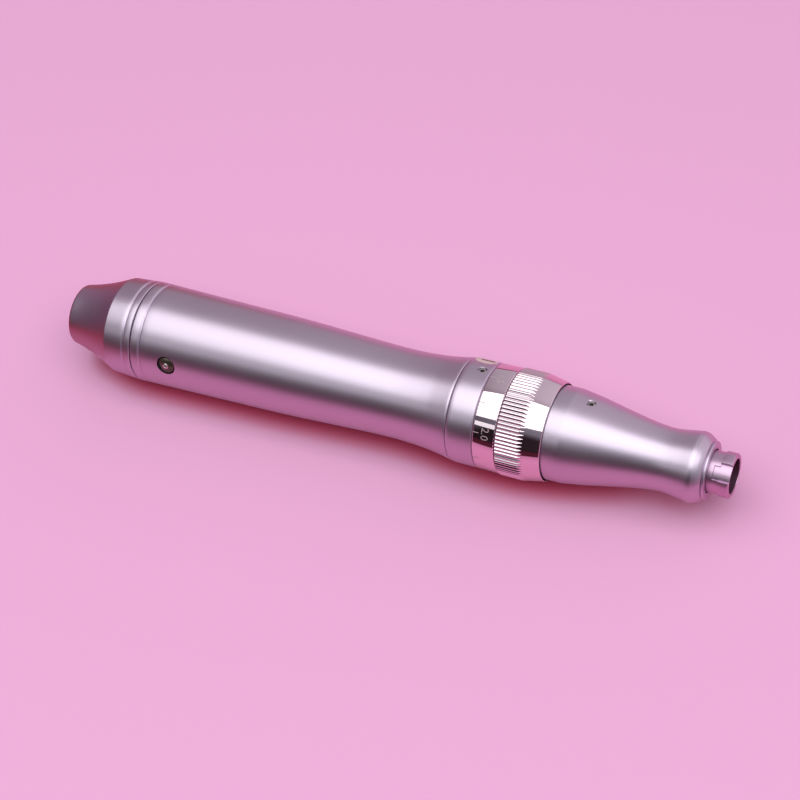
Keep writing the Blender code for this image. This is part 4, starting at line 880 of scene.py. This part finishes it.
# %% Small screws
def socket_screw(node, name):
    """A headless screw, turned again more finely, with its hexagon socket cut in."""
    frame_of = frame_at(node, GRUB_ANGLE)
    profile = outline_of(node, frame_of)
    (bottom, top), thick = span(profile), thickest(profile)
    key = sorted({round(r, 5) for a, r in profile if r > 0 and a > top - WELD})[0]
    socket_floor = min(a for a, r in profile if 0 < r <= key + WELD and a > bottom + thick / 2)
    screw = spun(name, refined(cylinder(bottom, top, thick), 1), screw_steel, frame_of, TINY_STEPS)
    cut(screw, spun("hex_key", cylinder(socket_floor, top + thick, key), screw_steel, frame_of, 6))
    stands_for(screw, node)
    # painted shade: a black prism fills the socket's lower half, where no light reaches
    shade = spun(name + "_key_shade", cylinder(socket_floor, socket_floor + key / 2, key - WELD),
                 matte_black, frame_of, 6)
    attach(shade, body_of[node])


socket_screw("collar_grub_screw", "collar_grub_screw_fine")
socket_screw("nose_grub_screw", "nose_grub_screw_fine")

# %% [markdown]
# ## Bayonet tube
#
# A needle cartridge slides over this tube and locks with a twist. Its lugs enter through two milled
# channels in the raised lip, each with a step that turns them. The tube is spun like the rest, with
# one column of points to each degree, and the columns inside a channel are pressed down to its floor.

# %% Bayonet tube
CHANNELS = 2
CHANNEL_ANGLE = 58.0
CHANNEL_HALF_ANGLE = 24.0
CHANNEL_DEPTH = 0.34 * MM
POCKET_LOWER_ANGLE = 24.0
POCKET_UPPER_ANGLE = 14.0
POCKET_LENGTH = 1.4 * MM
MILL_STEP = 0.04 * MM
TUBE_SHARP_EDGE = math.radians(30)

tube_outline = outline_of("bayonet_tube")
tube_front = span(tube_outline)[1]
lip_radius = max(radius for x, radius in tube_outline if x > span(nose_line)[1])
lip_rear = min(x for x, radius in tube_outline if abs(radius - lip_radius) < WELD)
# behind the lip only the two ends of the tube's collar are thicker than the tube
tube_radius = sorted({round(radius, 6) for x, radius in tube_outline if x < lip_rear + WELD})[-3]
channel_floor = tube_radius - CHANNEL_DEPTH
pocket_rear = lip_rear - POCKET_LENGTH
milled = []
for (x0, r0), (x1, r1) in sides(tube_outline):
    milled.append((x0, r0))
    if min(r0, r1) > tube_radius - WELD and min(x0, x1) < pocket_rear < max(x0, x1):
        stations = (pocket_rear - MILL_STEP, pocket_rear + MILL_STEP, lip_rear - MILL_STEP)
        milled += [(x, r0) for x in (stations if x1 > x0 else reversed(stations))]
tube_skin = spun("bayonet_tube_milled", refined(milled, 1, EDGE_RADIUS / 2), turned_steel, steps=360)
print("tube", round(tube_radius / MM, 2), "lip", round(lip_radius / MM, 2))

# %% Mill the channels, and line the bore with painted shade
for v in tube_skin.data.vertices:
    angle = math.degrees(math.atan2(v.co.z - axis_z, -v.co.y)) % 360
    off = (angle - CHANNEL_ANGLE + 90) % (360 / CHANNELS) - 90
    behind_lip = v.co.x < lip_rear - MILL_STEP / 2
    low, high = ((POCKET_LOWER_ANGLE, POCKET_UPPER_ANGLE) if behind_lip
                 else (CHANNEL_HALF_ANGLE, CHANNEL_HALF_ANGLE))
    radius = math.hypot(v.co.y, v.co.z - axis_z)
    if v.co.x > pocket_rear and -low <= off <= high and radius > channel_floor:
        v.co.y *= channel_floor / radius
        v.co.z = axis_z + (v.co.z - axis_z) * channel_floor / radius
tube_skin.data.update()
bake(tube_skin).set_sharp_from_angle(angle=TUBE_SHARP_EDGE)
stands_for(tube_skin, "bayonet_tube")

bore_radius = min(radius for _, radius in tube_outline)
collar_x = tube_outline[0][0]
# painted shade: a dark plum lining stands in for the shade deep inside the tube
bore_painted_shade = spun("bayonet_tube_bore", hoop(collar_x, tube_front - EDGE_RADIUS,
                                           bore_radius - MARK_THICKNESS, bore_radius),
                 painted_shade_plum, steps=INNER_STEPS)
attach(bore_painted_shade, body_of["bayonet_tube"])
print("bore radius mm", round(bore_radius / MM, 2))

# %% [markdown]
# ## Inside
#
# The push rod shows in the bore of the tube, and the charging socket at the tail. The return spring
# is hidden. Its front end stays on the bush and its rear end moves with the rod, but here its coil is
# only copied from its CAD node as it stands, and is not bound to either body.

# %% Return spring
spring_coil = placed("return_spring_coil", nodes["return_spring"].data.copy())
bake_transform(spring_coil)
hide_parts("return_spring")

# %% Push rod and charging socket
NUT_SLOT_WIDTH = 1.0 * MM
NUT_SLOT_DEPTH = 0.5 * MM
SLOT_OVERRUN = 1.2

for node, material, steps in (("push_rod", blued_steel, SMALL_STEPS),
                              ("charge_socket", matte_black, INNER_STEPS),
                              ("socket_centre_pin", turned_brass, TINY_STEPS)):
    stands_for(spun(node + "_turned", refined(outline_of(node)), material, steps=steps), node)

nut_outline = outline_of("socket_ring_nut")
nut_skin = spun("socket_ring_nut_turned", refined(nut_outline), turned_steel,
                steps=INNER_STEPS)
nut_reach = thickest(nut_outline) * SLOT_OVERRUN
bpy.ops.mesh.primitive_cube_add(size=1)
slot_tool = bpy.context.object
slot_tool.data.transform(Matrix.Translation((span(nut_outline)[0], 0, axis_z))
                         @ Matrix.Diagonal((2 * NUT_SLOT_DEPTH, NUT_SLOT_WIDTH, 2 * nut_reach, 1)))
cut(nut_skin, slot_tool)
stands_for(nut_skin, "socket_ring_nut")

# %% [markdown]
# ## Floor
#
# The pen lies on a sheet of pale pink paper. Seen in the metal the paper is a deeper pink than seen
# from above, and the light that it throws back into its own shadows is nearly red, so its colour
# depends on what kind of ray looks at it. Close under the pen the shadow is red too, and there it is
# painted: an Ambient Occlusion node, which measures how much of the sky a point sees, mixes in a
# darker, redder paper as a painted contact shadow. The knurl is the pen's thickest part, so the pen
# rests on it and on the rear edge of the body, and the sheet is tipped by that fraction of a degree.

# %% Paper
PAPER = linear(230, 173, 210)
DEEP_PAPER = linear(230, 150, 192)      # as the metal sees it
SHADED_PAPER = linear(200, 40, 60)      # as its own shadows see it
# painted shade: the darker, redder paper of a painted contact shadow close under the pen
PAINTED_CONTACT_SHADOW = linear(217, 90, 125)    # as the camera sees it close under the pen
CONTACT_REACH = 9 * MM
CONTACT_OPEN = (0.33, 0.66)


def map_range(tree, value, ins, outs=(0.0, 1.0)):
    """A value carried from one range to another, and held at its ends."""
    labels = ("Value", "From Min", "From Max", "To Min", "To Max")
    return add_node(tree, "ShaderNodeMapRange",
                    dict(zip(labels, (value, *ins, *outs)))).outputs["Result"]


def mixed(tree, factor, first, second, blend="MIX"):
    return add_node(tree, "ShaderNodeMix", {"Factor": factor, "A": first, "B": second},
                    data_type="RGBA", blend_type=blend).outputs["Result"]


paper_pink, paper_shader = new_material("pink_paper", PAPER, roughness=0.9, specular=0.1)
paper_tree = paper_pink.node_tree
ray = add_node(paper_tree, "ShaderNodeLightPath").outputs
open_sky = add_node(paper_tree, "ShaderNodeAmbientOcclusion", {"Distance": CONTACT_REACH}).outputs["AO"]
paper_with_painted_shadow = mixed(paper_tree, map_range(paper_tree, open_sky, CONTACT_OPEN), PAINTED_CONTACT_SHADOW, PAPER)
seen_paper = mixed(paper_tree, ray["Is Camera Ray"], DEEP_PAPER, paper_with_painted_shadow)
bounced = math_node(paper_tree, "GREATER_THAN", ray["Diffuse Depth"], 0.5)
feed(paper_tree, paper_shader, {"Base Color": mixed(paper_tree, bounced, seen_paper, SHADED_PAPER)})
print("paper", len(paper_tree.nodes), "nodes")

# %% Floor
FLOOR_SIZE = 6000 * MM
REST_INSET = 0.5 * MM


def laid_sheet(name, material, lie):
    """A flat sheet, laid out from a unit square by a matrix."""
    bpy.ops.mesh.primitive_plane_add(size=1)
    sheet = bpy.context.object
    sheet.name = name
    sheet.data.transform(lie)
    sheet.data.materials.append(material)
    return sheet


rear_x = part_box("body_shell")[0].x + REST_INSET
front_x = (knurl_rear + knurl_front) / 2
tip = math.atan2(axis_z - surface_at(body_outline, rear_x), front_x - rear_x)
floor_lie = (Matrix.Translation((front_x, 0, 0)) @ Matrix.Rotation(tip, 4, "Y")
             @ Matrix.Translation((-front_x, 0, 0)))
floor = laid_sheet("paper_floor", paper_pink,
                   floor_lie @ Matrix.Diagonal((FLOOR_SIZE, FLOOR_SIZE, 1, 1)))
print("floor tip degrees", round(math.degrees(tip), 2))

# %% [markdown]
# ## Light
#
# Polished metal has no look of its own: the chrome ring shows a white box overhead, a narrow white
# strip in front, a grey gap between them, black under them, and the pink paper. Each band's angle in
# the picture gives, by the law of reflection, the height of the lamp that makes it.

# %% Lamps
BOX_HEIGHT = 1000 * MM
BOX_LOW_ANGLE = math.radians(50)
BOX_HIGH_ANGLE = math.radians(105.5)
BOX_TAIL_REACH = 850 * MM
BOX_NOSE_REACH = 1100 * MM
BOX_RADIANCE = 1.87
STRIP_DISTANCE = 1100 * MM
STRIP_ANGLE = math.radians(34.8)
STRIP_WIDTH_ANGLE = math.radians(9)
STRIP_TAIL_REACH = 1000 * MM
STRIP_NOSE_REACH = -60 * MM
STRIP_RADIANCE = 1.05


def lamp(name, center, target, length, width, radiance):
    """A rectangular lamp whose long side lies along X."""
    data = bpy.data.lights.new(name, "AREA")
    data.shape = "RECTANGLE"
    data.size, data.size_y = length, width
    data.energy = radiance * math.pi * length * width
    facing = (target - center).normalized()
    across = facing.cross(Vector((1, 0, 0))).normalized()
    placed(name, data).matrix_world = Matrix.Translation(center) @ Matrix(
        (across.cross(facing), across, -facing)).transposed().to_4x4()
    print(name, "mm", round(length / MM), "x", round(width / MM))


box_front = -BOX_HEIGHT / math.tan(BOX_LOW_ANGLE)
box_back = -BOX_HEIGHT / math.tan(BOX_HIGH_ANGLE)
box_center = Vector(((BOX_NOSE_REACH - BOX_TAIL_REACH) / 2, (box_front + box_back) / 2, BOX_HEIGHT))
lamp("overhead_box", box_center, box_center - Vector((0, 0, 1)), BOX_TAIL_REACH + BOX_NOSE_REACH,
     box_back - box_front, BOX_RADIANCE)
strip_center = Vector(((STRIP_NOSE_REACH - STRIP_TAIL_REACH) / 2,
                       -STRIP_DISTANCE * math.cos(STRIP_ANGLE), STRIP_DISTANCE * math.sin(STRIP_ANGLE)))
lamp("front_strip", strip_center, Vector((strip_center.x, 0, axis_z)),
     STRIP_TAIL_REACH + STRIP_NOSE_REACH, 2 * STRIP_DISTANCE * math.tan(STRIP_WIDTH_ANGLE / 2),
     STRIP_RADIANCE)

# %% [markdown]
# The black under the strip is a dark velvet flag on the paper in front, which begins softly and which
# only reflections see. A thinner, redder one beyond the tail darkens what the tail's end reflects.

# %% Dark flags
FLAG_FADE_FROM = 45 * MM
FLAG_NEAR = 92 * MM
FLAG_SOFT_SHARE = 0.35
FLAG_SIZE = 3000 * MM
FLAG_LIFT = 0.5 * MM
TAIL_FLAG_LIFT = 0.3 * MM
TAIL_FLAG_FADE = 40 * MM
TAIL_FLAG_SHARE = 0.85


def velvet(name, color):
    """A dull material, with its shader, and its own X, Y and Z to fade it by."""
    material, shader = new_material(name, color, roughness=1.0, specular=0.0)
    tree = material.node_tree
    place = add_node(tree, "ShaderNodeTexCoord").outputs["Object"]
    return material, shader, tree, add_node(tree, "ShaderNodeSeparateXYZ", {0: place}).outputs


dark_velvet, shader, tree, place = velvet("dark_velvet", linear(78, 32, 44))
soft_edge = map_range(tree, place["Y"], (-FLAG_FADE_FROM, -FLAG_NEAR), (0.0, FLAG_SOFT_SHARE))
beyond = math_node(tree, "LESS_THAN", place["Y"], -FLAG_NEAR)
feed(tree, shader, {"Alpha": math_node(tree, "MAXIMUM", soft_edge, beyond)})

tail_end = cad_box[0].x
thin_velvet, shader, tree, place = velvet("thin_velvet", linear(170, 15, 40))
feed(tree, shader, {"Alpha": map_range(tree, place["X"], (tail_end, tail_end - TAIL_FLAG_FADE),
                                       (FLAG_SOFT_SHARE, TAIL_FLAG_SHARE))})

front_lie = (Matrix.Translation((0, -FLAG_FADE_FROM - FLAG_SIZE / 2, FLAG_LIFT))
             @ Matrix.Diagonal((2 * FLAG_SIZE, FLAG_SIZE, 1, 1)))
tail_lie = (Matrix.Translation((tail_end - FLAG_SIZE / 2, 0, TAIL_FLAG_LIFT))
            @ Matrix.Diagonal((FLAG_SIZE, 2 * FLAG_SIZE, 1, 1)))
for name, material, lie in (("dark_flag", dark_velvet, front_lie), ("tail_flag", thin_velvet, tail_lie)):
    item = laid_sheet(name, material, floor_lie @ lie)
    item.visible_camera = item.visible_diffuse = item.visible_shadow = False

# %% [markdown]
# The room behind the lamps is dim in front, dimmer and pinker towards the tail, and paler behind and
# towards the nose. Two ramps, across the pen and along it, are multiplied into the world's colour.

# %% Room behind the lamps
BACK_STOPS = ((-0.88, (0.02, 0.012, 0.015)), (-0.84, (0.05, 0.04, 0.05)), (-0.77, (0.14, 0.13, 0.16)),
              (-0.6, (0.19, 0.18, 0.21)), (0.2, (0.30, 0.26, 0.29)), (0.45, (0.46, 0.40, 0.45)),
              (1.0, (0.50, 0.43, 0.49)))
TAIL_STOPS = ((-0.9, (0.5, 0.2, 0.38)), (-0.5, (0.8, 0.7, 0.75)), (-0.34, (1.0, 1.0, 1.0)),
              (-0.05, (1.25, 1.25, 1.25)), (0.3, (1.6, 1.6, 1.6)), (0.8, (2.0, 2.0, 2.0)))

world = bpy.data.worlds.new("studio_room")
bpy.context.scene.world = world
world.use_nodes = True
room_tree = world.node_tree
direction = add_node(room_tree, "ShaderNodeTexCoord").outputs["Generated"]
look = add_node(room_tree, "ShaderNodeSeparateXYZ", {0: direction}).outputs


def room_ramp(axis, stops):
    """Room brightness along one axis of the view direction, as a colour for each stop."""
    ramp = add_node(room_tree, "ShaderNodeValToRGB",
                    {"Fac": map_range(room_tree, look[axis], (-1.0, 1.0))})
    points = ramp.color_ramp.elements
    while len(points) < len(stops):
        points.new(0.5)
    for point, (value, color) in zip(points, stops):
        point.position = (value + 1) / 2
        point.color = color + (1.0,)
    return ramp.outputs["Color"]


room = mixed(room_tree, 1.0, room_ramp("Y", BACK_STOPS), room_ramp("X", TAIL_STOPS), "MULTIPLY")
feed(room_tree, room_tree.nodes["Background"], {"Color": room})
print("room stops", len(BACK_STOPS), "across and", len(TAIL_STOPS), "along")
